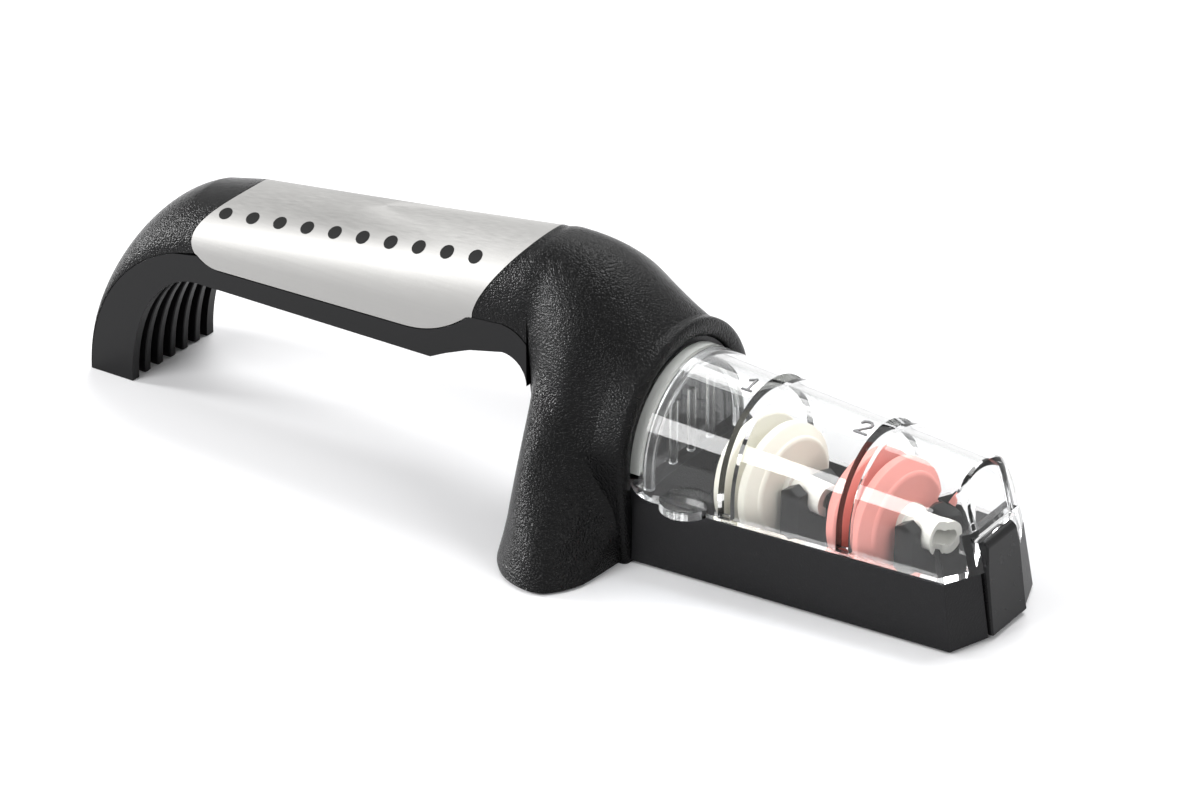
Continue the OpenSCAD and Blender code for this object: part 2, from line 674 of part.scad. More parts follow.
sole_us = [for (u = [3:1:face_row - 1]) u];
function sole_half(u) =
    let (a = guard_inner(u, 0), b = guard_inner(u, 1))
    -blend(a[1], b[1], min(1, shell_t / (b[2] - a[2]))) - gap;
module sole_plate() {
    near = [for (u = sole_us) [spline(guard_rows, u)[0], -sole_half(u)]];
    far = [for (p = backwards(near)) [p[0], -p[1]]];
    color([0.16, 0.16, 0.17])
    difference() {
        translate([0, 0, sole_h])
        linear_extrude(shell_t - snug)
        intersection() {
            polygon(concat(near, far));
            translate([leg_x + panel_t + snug, -guard_w])
            square([guard_l, 2 * guard_w]);
        }
        for (x = sole_screw_xs)
            translate([x, 0, sole_h - over]) {
                cylinder(h = shell_t + 2 * over, r = screw_r + snug);
                cylinder(h = over + head_h / 2, r = head_r + snug);
            }
        guard_pad_forms(snug);
    }
}

module sole_screws() {
    color([0.6, 0.6, 0.62])
    for (x = sole_screw_xs)
        translate([x, 0, sole_h + snug]) {
            cylinder(h = head_h / 2 - snug, r = head_r);
            cylinder(h = shell_t + screw_r, r = screw_r);
        }
}

module guard_pad_forms(grow) {
    for (side = [-1, 1])
        translate([guard_pad_x, side * guard_pad_y, 0])
        cylinder(h = sole_h + pad_in + grow, r = pad_r + grow);
}

module guard_pads() {
    color([0.07, 0.07, 0.07]) {
        guard_pad_forms(0);
    }
}

module nose_pad_form(grow) {
    hull_h = sole_h + pad_in + grow;
    for (side = [-1, 1])
        translate([nose_pad_x, side * pad_r, 0])
        cylinder(h = hull_h, r = pad_r + grow);
    translate([nose_pad_x - pad_r - grow, -pad_r, 0])
    cube([2 * (pad_r + grow), 2 * pad_r, hull_h]);
}

module nose_pad() {
    color([0.07, 0.07, 0.07]) {
        nose_pad_form(0);
    }
}

// The stages: place and turn a piece from its own axle frame into the object
fine_x = nose_x - fine_back;
coarse_x = fine_x - stage_l;
module at_stage(x) {
    translate([x, 0, axle_h])
    rotate([0, 0, -skew_angle])
    children();
}

// A profile in the plane of the axle, turned about the axle
module turned() {
    rotate([0, 90, 0])
    rotate_extrude()
    children();
}

disc_end = discs_l / 2;
stop_l = 1.3;
groove_gap = (wheel_r - groove_r) * tan(groove_angle);
disc_round = 0.09 * wheel_r;
contact_gap = 0.05;
function disc_profile() = concat(
    [[axle_r, contact_gap], [groove_r, contact_gap], [wheel_r - gap, groove_gap],
     [wheel_r, groove_gap + gap], [wheel_r, groove_gap + 2 * disc_round - gap],
     [wheel_r - gap, groove_gap + 2 * disc_round]],
    oval(0.84 * wheel_r - disc_round, disc_end - disc_round, disc_round, disc_round, 25, 90, 6),
    [[stop_r, disc_end], [axle_r, disc_end]]);

module disc(x, side) {
    at_stage(x)
    mirror([side < 0 ? 1 : 0, 0, 0])
    turned()
    polygon(disc_profile());
}

// An axle ends just behind its rear fork and reaches out of its front fork
post_start = disc_end + stop_l + gap;
axle_back = post_start + post_back_l + gap / 2;
module stage_axle(x) {
    at_stage(x)
    rotate([0, 90, 0])
    difference() {
        translate([0, 0, -axle_back])
        cylinder(h = axle_l, r = axle_r);
        translate([0, 0, -axle_back - over])
        cylinder(h = axle_l + 2 * over, r = axle_bore_r);
    }
}

module stage_collars(x) {
    at_stage(x)
    for (side = [-1, 1])
        translate([side * (disc_end + stop_l / 2), 0, 0])
        rotate([0, 90, 0])
        difference() {
            cylinder(h = stop_l, r = stop_r, center = true);
            cylinder(h = stop_l + 2 * over, r = axle_r, center = true);
        }
}

// The fork posts of one stage stand in pairs at both ends of the axle
fork_half = axle_r + axle_play;
gable_h = 0.5 * post_t;
module fork(side) {
    long = side > 0 ? post_l : post_back_l;
    mid = side * (post_start + long / 2);
    difference() {
        translate([mid - long / 2, -fork_half - post_t, trough_floor - axle_h])
        cube([long, 2 * (fork_half + post_t), post_top_h - gable_h - trough_floor]);
        translate([mid, 0, 0])
        rotate([0, 90, 0])
        cylinder(h = long + 2 * over, r = fork_half, center = true);
        translate([mid - long / 2 - over, -fork_half, 0])
        cube([long + 2 * over, 2 * fork_half, post_top_h]);
    }
    for (y = [-1, 1])
        translate([mid, y * (fork_half + post_t / 2), post_top_h - gable_h - axle_h])
        rotate([90, 0, 0])
        linear_extrude(post_t, center = true)
        polygon([[-long / 2, 0], [long / 2, 0], [0, gable_h]]);
}

rack_half = box_nose_w / 2 - box_t - side_lean - 2 * gap;
rack_reach = post_start + post_l + 2 * gap;
rack_back = coarse_x - rack_reach;
rack_front = fine_x + rack_reach;
rack_screw_xs = [coarse_x, fine_x];
rail_w = 2.4;
module axle_rack() {
    color([0.12, 0.12, 0.13])
    difference() {
        union() {
            translate([rack_back, -rack_half, trough_floor])
            cube([rack_front - rack_back, 2 * rack_half, rack_t]);
            for (x = [coarse_x, fine_x])
                at_stage(x) {
                    fork(-1);
                    fork(1);
                }
        }
        for (x = rack_screw_xs)
            translate([x, 0, trough_floor - over])
            cylinder(h = rack_t + 2 * over, r = screw_r + snug);
    }
}

module rack_screws() {
    color([0.6, 0.6, 0.62])
    for (x = rack_screw_xs)
        translate([x, 0, trough_floor - 0.9 * over])
        cylinder(h = rack_t + 0.9 * over, r = screw_r);
}

// The latch: a slanted block on a pin, with a lip along its top
latch_front_lean = 2.8;
latch_step = 1.6;
module nose_latch() {
    low = sole_h + gap;
    top_x = nose_x - latch_front_lean;
    color([0.09, 0.09, 0.10])
    difference() {
        intersection() {
            across(nose_flat_w)
            polygon([[latch_x + latch_step, low], [nose_x, low], [nose_x - gap, low + over],
                     [top_x, latch_h - over], [top_x - over, latch_h],
                     [latch_x - latch_step + gap, latch_h], [latch_x - latch_step, latch_h - 2 * gap],
                     [latch_x - latch_step, rim_h + 2 * gap], [latch_x, rim_h + 2 * gap],
                     [latch_x, low + latch_step]]);
            translate([latch_x - 2 * latch_step, 0, 0])
            rotate([90, 0, 90])
            linear_extrude(3 * latch_back)
            polygon([[-nose_flat_w / 2, 0], [nose_flat_w / 2, 0],
                     [nose_flat_w / 2 - gap, rim_h], [latch_top_w / 2, latch_h + over],
                     [-latch_top_w / 2, latch_h + over], [-nose_flat_w / 2 + gap, rim_h]]);
        }
        translate([latch_pin_x, nose_flat_w, latch_pin_z])
        rotate([90, 0, 0])
        cylinder(h = 2 * nose_flat_w, r = latch_pin_r + axle_play);
    }
}

module latch_pin() {
    color([0.66, 0.66, 0.68])
    translate([latch_pin_x, latch_pin_half, latch_pin_z])
    rotate([90, 0, 0])
    cylinder(h = 2 * latch_pin_half, r = latch_pin_r);
}

// The cover: a cone lying along the box, over straight sides, cut to the nose's facets
cover_x = guard_x + gap;
cover_low = rim_h + gap;
cover_l = nose_x - nose_corner_l - nose_lean - cover_x;
cone_tilt = atan((cover_h - cover_nose_h) / cover_l);
cone_l = cover_l / cos(cone_tilt);
cone_slope = (cover_r - cover_nose_r) / cone_l;
cover_nose_lean = 0.26;
module cover_form(inset, x0, z0) {
    reach = nose_x - x0;
    corner = nose_x - nose_corner_l - nose_lean - inset;
    front = corner + nose_corner_l;
    tall = cover_top_h + over;
    lean = cover_nose_lean * (tall - z0);
    side0 = cover_r - inset;
    side1 = cover_nose_r - inset;
    flat = nose_flat_w / 2;
    intersection() {
        frustum([[x0, -cover_r - over], [corner, -side1 - over], [corner, -side1], [front, -flat],
                 [front, flat], [corner, side1], [corner, side1 + over], [x0, cover_r + over]],
                [[x0, -cover_r - over], [corner - lean, -side1 - over], [corner - lean, -side1],
                 [front - lean, -flat], [front - lean, flat], [corner - lean, side1],
                 [corner - lean, side1 + over], [x0, cover_r + over]], z0, tall);
        union() {
            translate([cover_x, 0, cover_h])
            rotate([0, 90 + cone_tilt, 0])
            translate([0, 0, -over])
            cylinder(h = cone_l + nose_corner_l + 2 * over, r1 = side0 + over * cone_slope,
                     r2 = side1 - (nose_corner_l + over) * cone_slope);
            frustum([[cover_x, -side0], [corner + over, -side1], [nose_x, -flat],
                     [nose_x, flat], [corner + over, side1], [cover_x, side0]],
                    [[cover_x, -side0], [corner + over, -side1], [nose_x, -flat],
                     [nose_x, flat], [corner + over, side1], [cover_x, side0]],
                    z0 - over, cover_nose_h);
        }
    }
}

pocket_half = nose_flat_w / 2 + gap;
pocket_x = latch_x - latch_step - gap;
pocket_t = 1.4;
module clear_cover() {
    lip_r = (pow(lip_l / 2, 2) + pow(lip_out, 2)) / (2 * lip_out);
    lip_x = cover_x + 1.25 * cheek_r + lip_l / 2;
    lip_side = cover_r - (cover_r - cover_nose_r) * (lip_x - cover_x) / cover_l;
    color([0.85, 0.9, 0.92, 0.4])
    difference() {
        union() {
            difference() {
                cover_form(0, cover_x, cover_low);
                difference() {
                    cover_form(cover_t, cover_x + cover_t, cover_low - over);
                    translate([pocket_x - pocket_t, -pocket_half - pocket_t, 0])
                    cube([box_l, 2 * (pocket_half + pocket_t), latch_h + gap + pocket_t]);
                }
            }
            for (side = [-1, 1])
                intersection() {
                    translate([lip_x, side * (lip_side + lip_out - lip_r), cover_low])
                    cylinder(h = lip_t, r = lip_r);
                    translate([lip_x - lip_l, side > 0 ? lip_side - cover_t / 2 : -lip_side - lip_l
                               + cover_t / 2, 0])
                    cube([2 * lip_l, lip_l, cover_top_h]);
                }
        }
        translate([pocket_x, -pocket_half, 0])
        cube([box_l, 2 * pocket_half, latch_h + gap]);
        for (x = [coarse_x, fine_x])
            translate([x - slot_w / 2, -cover_r - over, cover_low + flange_h])
            cube([slot_w, 2 * (cover_r + over), cover_top_h]);
        translate([cover_x, 0, cover_low])
        across(2 * (cover_r + over))
        translate([-gap, -gap])
        cheek_outline(gap);
    }
}

module coarse_axle() { color([0.93, 0.92, 0.88]) stage_axle(coarse_x); }
module coarse_rear_disc() { color([0.95, 0.94, 0.88]) disc(coarse_x, -1); }
module coarse_front_disc() { color([0.95, 0.94, 0.88]) disc(coarse_x, 1); }
module coarse_collars() { color([0.93, 0.92, 0.88]) stage_collars(coarse_x); }
module fine_axle() { color([0.93, 0.92, 0.88]) stage_axle(fine_x); }
module fine_rear_disc() { color([0.93, 0.60, 0.56]) disc(fine_x, -1); }
module fine_front_disc() { color([0.93, 0.60, 0.56]) disc(fine_x, 1); }
module fine_collars() { color([0.93, 0.92, 0.88]) stage_collars(fine_x); }

upper_shell();
lower_shell();
handle_plate();
plate_tape();
shell_screws();
wheel_box();
box_screws();
sole_plate();
sole_screws();
guard_pads();
nose_pad();
axle_rack();
rack_screws();
nose_latch();
latch_pin();
clear_cover();
coarse_axle();
coarse_rear_disc();
coarse_front_disc();
coarse_collars();
fine_axle();
fine_rear_disc();
fine_front_disc();
fine_collars();
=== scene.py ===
import math

import bmesh
import bpy
from mathutils import Euler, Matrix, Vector


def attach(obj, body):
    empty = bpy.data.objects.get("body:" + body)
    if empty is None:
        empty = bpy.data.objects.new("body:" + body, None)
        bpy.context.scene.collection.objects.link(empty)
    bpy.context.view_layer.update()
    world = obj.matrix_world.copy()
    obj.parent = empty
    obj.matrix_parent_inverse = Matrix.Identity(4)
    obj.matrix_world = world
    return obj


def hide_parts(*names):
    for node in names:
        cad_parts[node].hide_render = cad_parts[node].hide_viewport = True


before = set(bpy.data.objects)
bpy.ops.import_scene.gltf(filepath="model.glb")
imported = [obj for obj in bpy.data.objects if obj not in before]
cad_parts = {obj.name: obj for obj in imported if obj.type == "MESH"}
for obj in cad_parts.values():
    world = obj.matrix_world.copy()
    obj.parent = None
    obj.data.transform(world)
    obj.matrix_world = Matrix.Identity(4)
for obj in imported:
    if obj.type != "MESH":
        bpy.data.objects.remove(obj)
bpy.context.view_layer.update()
scene = bpy.context.scene
MM = 0.001

# Camera, in metres
CAM_PLACE = (0.5533, -0.7990, 0.5249)
CAM_TILT, CAM_TURN = math.radians(62.5), math.radians(34)
CAM_LENS, CAM_SENSOR = 150, 36
CAM_NEAR, CAM_FAR = 0.05, 50
cam_data = bpy.data.cameras.new("photo_camera")
cam = bpy.data.objects.new("photo_camera", cam_data)
scene.collection.objects.link(cam)
cam.location = CAM_PLACE
cam.rotation_euler = Euler((CAM_TILT, 0, CAM_TURN))
cam_data.lens = CAM_LENS
cam_data.sensor_width = CAM_SENSOR
cam_data.clip_start = CAM_NEAR
cam_data.clip_end = CAM_FAR
scene.camera = cam

# Sizes, in mm
HEEL_X, NOSE_X = -118.0, 118.0
HALF_W = 15.0
SHELL_T = 2.4
SOLE_H = 0.5
GAP = 0.3
SNUG = 0.15
FILM_GAP = 0.1
OVERRUN = 1.0
TINY = 1e-9
FOOT_X = -80.0
FOOT_BACK_L = 38.0
BACK_BULGE = 1.4
FOOT_TOP_H = 49.9
SEAM_H = 38.0
SEAM_BACK_L = FOOT_BACK_L - BACK_BULGE
FOOT_WALL_L, ARCH_L = 12.0, 20.0
ARCH_X = HEEL_X + BACK_BULGE + FOOT_WALL_L + ARCH_L
UNDERSIDE_H = 30.3
CROWN_RISE = 0.129
SEAM_RISE = 0.07
BOX_L, GUARD_L = 82.5, 30.0
PEAK_IN, LOW_BACK = 2.5, 25.7
GUARD_X = NOSE_X - BOX_L
LEG_X = GUARD_X - GUARD_L
PEAK_X = LEG_X + PEAK_IN
LEG_ARCH_H = 6.5
LOW_X = LEG_X - LOW_BACK
SEAM_FALL_L, SEAM_FALL_H = 1.54 * LEG_ARCH_H, 2 * LEG_ARCH_H
FULL_GAIN = 2.6
GUARD_HALF = 45.0
LEG_HALF = 9.8
BOX_HALF = 21.7
COVER_R, COVER_H = 21.0, 21.0
COLLAR_T, OPEN_PLAY = 3.8, 1.1
COLLAR_R = COVER_R + COLLAR_T
PLATE_T, TAPE_T = 0.8, 0.2
PLATE_BED = PLATE_T + TAPE_T + FILM_GAP

# Widths of the rounded edges, in mm
CHEEK_ROUND, FIN_ROUND, PANEL_ROUND, BROW_ROUND = 0.9, 0.35, 0.3, 0.5
TROUGH_ROUND, TONGUE_ROUND, LATCH_ROUND = 0.55, 0.4, 0.5
COVER_ROUND, BAND_ROUND, RIB_ROUND = 0.45, 0.3, 0.35
COVER_ROUND_ANGLE = 50

turn_share = CROWN_RISE / math.hypot(CROWN_RISE, FOOT_TOP_H / FOOT_BACK_L)
turn_angle = math.acos(turn_share)
turn_x = FOOT_X - FOOT_BACK_L * turn_share
turn_z = FOOT_TOP_H * math.sin(turn_angle)
seam_x = FOOT_X - SEAM_BACK_L * turn_share
seam_z = SEAM_H * math.sin(turn_angle)
fall_l = GUARD_X - PEAK_X
bend_x = LEG_X - LEG_ARCH_H


def lerp(a, b, t):
    return a + (b - a) * t


def crown_line(x):
    return turn_z + CROWN_RISE * (x - turn_x)


peak_over = crown_line(PEAK_X) - COVER_H - COLLAR_R
hump_drop = (peak_over + math.sqrt(peak_over**2 - (CROWN_RISE * fall_l) ** 2)) / 2
hump_x = PEAK_X - CROWN_RISE * fall_l**2 / (2 * hump_drop)
hump_top = crown_line(hump_x) + (CROWN_RISE * fall_l) ** 2 / (4 * hump_drop)


def top_z(x):
    if x < hump_x:
        return crown_line(x)
    return hump_top - hump_drop * ((x - PEAK_X) / fall_l) ** 2


def seam_at(x):
    line = seam_z + SEAM_RISE * (min(x, bend_x) - seam_x)
    if x <= bend_x:
        return line
    q = min(1.0, (x - bend_x) / SEAM_FALL_L)
    return line - SEAM_FALL_H * (1 - math.sqrt(1 - q * q))


def sharp(v, p):
    return math.copysign(abs(v) ** p, v) if abs(v) > TINY else 0.0


def fullness(h, w):
    return 2 + FULL_GAIN * max(0.0, h / w / 2 - 0.5)


SKIRT_ANGLE = math.radians(16)


def path_angles(skirt, arc):
    low = [SKIRT_ANGLE * j / skirt for j in range(skirt)]
    mid = [SKIRT_ANGLE + (math.pi - 2 * SKIRT_ANGLE) * j / arc for j in range(arc + 1)]
    high = [math.pi - SKIRT_ANGLE * (skirt - 1 - j) / skirt for j in range(skirt)]
    return low + mid + high


SKIRT, ARC = 10, 56
ANGLES = path_angles(SKIRT, ARC)
PATH_N = len(ANGLES) - 1


def foot_point(turn, a, inset):
    s = (FOOT_X - SEAM_BACK_L * math.cos(turn), SEAM_H * math.sin(turn))
    c = (FOOT_X - (FOOT_BACK_L - inset) * math.cos(turn), (FOOT_TOP_H - inset) * math.sin(turn))
    k = math.sin(a)
    return (lerp(s[0], c[0], k), -(HALF_W - inset) * math.cos(a), lerp(s[1], c[1], k))


def handle_point(x, a, inset):
    h = top_z(x) - inset - seam_at(x)
    n = fullness(h, HALF_W)
    return (x, -(HALF_W - inset) * sharp(math.cos(a), 2 / n),
            seam_at(x) + h * abs(math.sin(a)) ** (2 / n))


def spline(rows, u):
    """A smooth curve through rows of numbers."""
    i = min(int(u), len(rows) - 2)
    f = u - i
    a, b = rows[max(i - 1, 0)], rows[i]
    c, d = rows[i + 1], rows[min(i + 2, len(rows) - 1)]
    return [q + (r - p) * f / 2 + (2 * p - 5 * q + 4 * r - t) * f**2 / 2
            + (3 * q - p - 3 * r + t) * f**3 / 2 for p, q, r, t in zip(a, b, c, d)]


# Stations of the guard: shares of place and of the arch's start, fullness, shares of half widths
LEVEL_SHARES = (0, 0.15, 0.3, 0.6, 0.85, 1)
WING_SHARES = [
    (0.013, 0.728, 2.45, 0.333, 0.315, 0.298, 0.285, 0.329, 0.327),
    (0.05, 0.713, 2.4, 0.489, 0.44, 0.4, 0.345, 0.347, 0.338),
    (0.117, 0.682, 2.3, 0.656, 0.584, 0.533, 0.44, 0.387, 0.366),
    (0.217, 0.636, 2.15, 0.8, 0.729, 0.684, 0.587, 0.484, 0.418),
    (0.35, 0.587, 2.05, 0.907, 0.844, 0.796, 0.693, 0.551, 0.473),
    (0.483, 0.546, 2, 0.969, 0.92, 0.862, 0.716, 0.573, 0.502),
    (0.65, 0.4975, 2, 1, 0.956, 0.884, 0.693, 0.542, 0.489),
    (0.783, 0.473, 2, 0.987, 0.929, 0.818, 0.6, 0.516, 0.493),
    (0.86, 0.465, 2, 0.936, 0.85, 0.695, 0.553, 0.518, 0.506),
    (1 - (SHELL_T + FILM_GAP) / GUARD_L, 0.458, 2, 0.88, 0.745, 0.608, 0.544, 0.538, 0.522),
    (0.97, 0.455, 2, 0.775, 0.633, 0.556, 0.547, 0.547, 0.531)]
LEG_SHARES = (0, 0, 0, 0.2, 0.92, 0.9)
COLLAR_SHARES = (0.08, 0.35, 0.6, 0.95, 0.95, 0.7)
INNER_TURN_SHARE, CROWN_WALL_SHARE = 0.62, 1.2
OPEN_WALL_SHARE, OPEN_POWER = 1.1, 0.7
leg_full = fullness(top_z(LEG_X) - seam_at(LEG_X), HALF_W)
leg_start = lerp(seam_at(LEG_X), top_z(LEG_X), math.sin(SKIRT_ANGLE) ** (2 / leg_full))
GUARD_ROWS = [[LEG_X, leg_start, leg_full] + [lerp(LEG_HALF, HALF_W, k) for k in LEG_SHARES]]
GUARD_ROWS += [[LEG_X + r[0] * GUARD_L, r[1] * hump_top, r[2]] + [k * GUARD_HALF for k in r[3:]]
               for r in WING_SHARES]
GUARD_ROWS += [[GUARD_X, COVER_H + COLLAR_R * math.sin(SKIRT_ANGLE), 2]
               + [lerp(BOX_HALF, COLLAR_R, k) for k in COLLAR_SHARES]]
FACE_ROW = len(GUARD_ROWS) - 3


def row_at(x):
    for a, b in zip(GUARD_ROWS, GUARD_ROWS[1:]):
        if x <= b[0]:
            return [lerp(p, q, max(0.0, (x - a[0]) / (b[0] - a[0]))) for p, q in zip(a, b)]
    return GUARD_ROWS[-1]


def level_half(row, rise):
    """Half width between two levels, along a smooth curve."""
    k = next(i for i in range(5) if rise <= LEVEL_SHARES[i + 1] + TINY)
    slopes = [(row[4 + i] - row[3 + i]) / (LEVEL_SHARES[i + 1] - LEVEL_SHARES[i])
              for i in range(5)]

    def slope(i):
        if i in (0, 5):
            return slopes[0 if i == 0 else 4]
        return 0.5 * (slopes[i - 1] + slopes[i])

    span = LEVEL_SHARES[k + 1] - LEVEL_SHARES[k]
    f = (rise - LEVEL_SHARES[k]) / span
    return ((2 * f**3 - 3 * f**2 + 1) * row[3 + k] + (f**3 - 2 * f**2 + f) * span * slope(k)
            + (3 * f**2 - 2 * f**3) * row[4 + k] + (f**3 - f**2) * span * slope(k + 1))


def arch_point(x, a, y, z, high, n):
    k = math.sin(SKIRT_ANGLE) ** (2 / n)
    low = (z - high * k) / (1 - k)
    w = y / math.cos(SKIRT_ANGLE) ** (2 / n)
    return (x, -w * sharp(math.cos(a), 2 / n), low + (high - low) * abs(math.sin(a)) ** (2 / n))


def row_point(x, row, j, thin, drop):
    if SKIRT <= j <= PATH_N - SKIRT:
        return arch_point(x, ANGLES[j], row[8] - thin, row[1], top_z(row[0]) - drop, row[2])
    rise = (j if j < SKIRT else PATH_N - j) / SKIRT
    y = level_half(row, rise) - thin
    return (x, -y if j < SKIRT else y, lerp(SOLE_H, row[1], rise))


def guard_outer(u, j):
    row = spline(GUARD_ROWS, u)
    return row_point(row[0], row, j, 0, 0)


def guard_inner(u, j):
    x = spline(GUARD_ROWS, u)[0]
    turn = (x - lerp(LEG_X, GUARD_X, INNER_TURN_SHARE)) / SHELL_T / 2
    q = max(LEG_X, min(GUARD_X, x + SHELL_T * max(-1, min(1, turn))))
    return row_point(x, row_at(q), j, SHELL_T, CROWN_WALL_SHARE * SHELL_T)


def open_point(x, j, inset):
    r = COVER_R + OPEN_PLAY - inset
    z = COVER_H + r * math.sin(SKIRT_ANGLE)
    if SKIRT <= j <= PATH_N - SKIRT:
        return arch_point(x, ANGLES[j], r * math.cos(SKIRT_ANGLE), z, COVER_H + r, 2)
    rise = (j if j < SKIRT else PATH_N - j) / SKIRT
    y = lerp(BOX_HALF - OPEN_WALL_SHARE * SHELL_T - inset, r * math.cos(SKIRT_ANGLE),
             rise**OPEN_POWER)
    return (x, -y if j < SKIRT else y, lerp(SOLE_H, z, rise))


# The plate's edges seen from the side
PLATE_LOW_H, PLATE_REAR_R = 35.2, 5.0
PLATE_SHORT, PLATE_REAR_REACH = 3.0, 6.3
PLATE_SWEEP, PLATE_CORNER_L, PLATE_CORNER_H = 11.4, 18.6, 7.5
PLATE_RISE, CORNER_POWER, FRONT_POWER = 0.017, 2.2, 1.5
PLATE_MID_SHARE, PLATE_TURN_SHARE = 1.25, 1.5
plate_rear_x = FOOT_X + GAP
plate_front_x = LEG_X - PLATE_SHORT
plate_top_rear = FOOT_TOP_H - GAP
plate_top_front = top_z(plate_front_x)
plate_back_x = plate_rear_x - PLATE_REAR_REACH
plate_mid_h = PLATE_LOW_H + PLATE_MID_SHARE * PLATE_REAR_R
plate_corner_x = plate_front_x - PLATE_SWEEP - PLATE_CORNER_L


def low_edge(x):
    rise = max(0.0, x - plate_corner_x) / PLATE_CORNER_L
    return (PLATE_LOW_H + PLATE_RISE * (x - plate_rear_x)
            + PLATE_CORNER_H * rise**CORNER_POWER)


plate_tip_h = low_edge(plate_front_x - PLATE_SWEEP)


def rear_edge(z):
    if z > plate_mid_h:
        up = (z - plate_mid_h) / (plate_top_rear - plate_mid_h)
        return plate_back_x + (plate_rear_x - plate_back_x) * up**2
    down = min(1.0, (plate_mid_h - z) / (plate_mid_h - PLATE_LOW_H))
    return plate_back_x + PLATE_TURN_SHARE * PLATE_REAR_R * (1 - math.sqrt(1 - down**2))


def front_edge(z):
    share = max(0.0, z - plate_tip_h) / (plate_top_front - plate_tip_h)
    return plate_front_x - PLATE_SWEEP + PLATE_SWEEP * share**FRONT_POWER


def plate_x(share, a):
    rear = rear_edge(handle_point(plate_rear_x - GAP, a, 0)[2])
    front = front_edge(handle_point(plate_front_x - PLATE_SWEEP / 2, a, 0)[2])
    return lerp(rear, front, share)


def bed_point(share, a, inset):
    return handle_point(plate_x(share, a), a, inset)


# Mesh helpers
def add_object(name, mesh, body, material):
    """A new piece with its material, riding on a body."""
    obj = bpy.data.objects.new(name, mesh)
    scene.collection.objects.link(obj)
    mesh.materials.clear()
    mesh.materials.append(material)
    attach(obj, body)
    return obj


def mesh_from(name, verts_mm, faces, smooth_deg=35):
    mesh = bpy.data.meshes.new(name)
    mesh.from_pydata([tuple(c * MM for c in v) for v in verts_mm], [], faces)
    mesh.validate()
    bm = bmesh.new()
    bm.from_mesh(mesh)
    bmesh.ops.recalc_face_normals(bm, faces=bm.faces)
    bm.to_mesh(mesh)
    bm.free()
    smooth(mesh, smooth_deg)
    return mesh


def smooth(mesh, smooth_deg):
    for p in mesh.polygons:
        p.use_smooth = True
    mesh.set_sharp_from_angle(angle=math.radians(smooth_deg))


def skin_mesh(name, rings, smooth_deg=35):
    """A closed skin over rings whose first half is the outside and second half the inside."""
    n, m = len(rings[0]), len(rings)
    half = n // 2
    faces = [(i * n + j, i * n + (j + 1) % n, (i + 1) * n + (j + 1) % n, (i + 1) * n + j)
             for i in range(m - 1) for j in range(n)]
    base = (m - 1) * n
    for j in range(half - 1):
        faces.append((j + 1, j, n - 1 - j, n - 2 - j))
        faces.append((base + j, base + j + 1, base + n - 2 - j, base + n - 1 - j))
    return mesh_from(name, [p for r in rings for p in r], faces, smooth_deg)


def prism_mesh(name, outline, y0, y1, smooth_deg=30):
    """An outline of (x, z) made solid between two values of y."""
    n = len(outline)
    verts = [(x, y0, z) for x, z in outline] + [(x, y1, z) for x, z in outline]
    faces = [tuple(range(n)), tuple(range(2 * n - 1, n - 1, -1))]
    faces += [(i, i + n, (i + 1) % n + n, (i + 1) % n) for i in range(n)]
    return mesh_from(name, verts, faces, smooth_deg)


def frustum_mesh(name, low, high, z0, z1, smooth_deg=30):
    """A solid between two outlines of (x, y) at two heights."""
    n = len(low)
    verts = [(x, y, z0) for x, y in low] + [(x, y, z1) for x, y in high]
    faces = [tuple(range(n)), tuple(range(2 * n - 1, n - 1, -1))]
    faces += [(i, i + n, (i + 1) % n + n, (i + 1) % n) for i in range(n)]
    return mesh_from(name, verts, faces, smooth_deg)


def box_mesh(name, x0, x1, y0, y1, z0, z1):
    outline = [(x0, y0), (x1, y0), (x1, y1), (x0, y1)]
    return frustum_mesh(name, outline, outline, z0, z1)


def combined(name, first, steps, smooth_deg=30):
    """The first mesh with others cut from it, added to it or kept in common."""
    base = bpy.data.objects.new(name + "_base", first)
    scene.collection.objects.link(base)
    helpers = []
    for operation, mesh in steps:
        other = bpy.data.objects.new(name + "_tool", mesh)
        scene.collection.objects.link(other)
        helpers.append(other)
        mod = base.modifiers.new("cut", "BOOLEAN")
        mod.operation = operation
        mod.solver = "EXACT"
        mod.object = other
    result = bpy.data.meshes.new_from_object(base.evaluated_get(
        bpy.context.evaluated_depsgraph_get()))
    result.name = name
    for obj in helpers + [base]:
        bpy.data.objects.remove(obj)
    smooth(result, smooth_deg)
    return result


def sheet_mesh(name, outer, inner, keep, smooth_deg=40):
    """A thick sheet over two grids of points; cells that aren't kept are left open."""
    m, n = len(outer), len(outer[0])
    verts = [p for row in outer for p in row] + [p for row in inner for p in row]
    far = m * n
    faces = []
    solid = [[keep(i, j) for j in range(n - 1)] for i in range(m - 1)]

    def is_solid(i, j):
        return 0 <= i < m - 1 and 0 <= j < n - 1 and solid[i][j]

    for i in range(m - 1):
        for j in range(n - 1):
            if not solid[i][j]:
                continue
            a, b, c, d = i * n + j, i * n + j + 1, (i + 1) * n + j + 1, (i + 1) * n + j
            faces += [(a, b, c, d), (far + d, far + c, far + b, far + a)]
            for di, dj, p, q in ((-1, 0, a, b), (0, 1, b, c), (1, 0, c, d), (0, -1, d, a)):
                if not is_solid(i + di, j + dj):
                    faces.append((q, p, far + p, far + q))
    used = sorted({k for f in faces for k in f})
    index = {k: i for i, k in enumerate(used)}
    return mesh_from(name, [verts[k] for k in used],
                     [tuple(index[k] for k in f) for f in faces], smooth_deg)


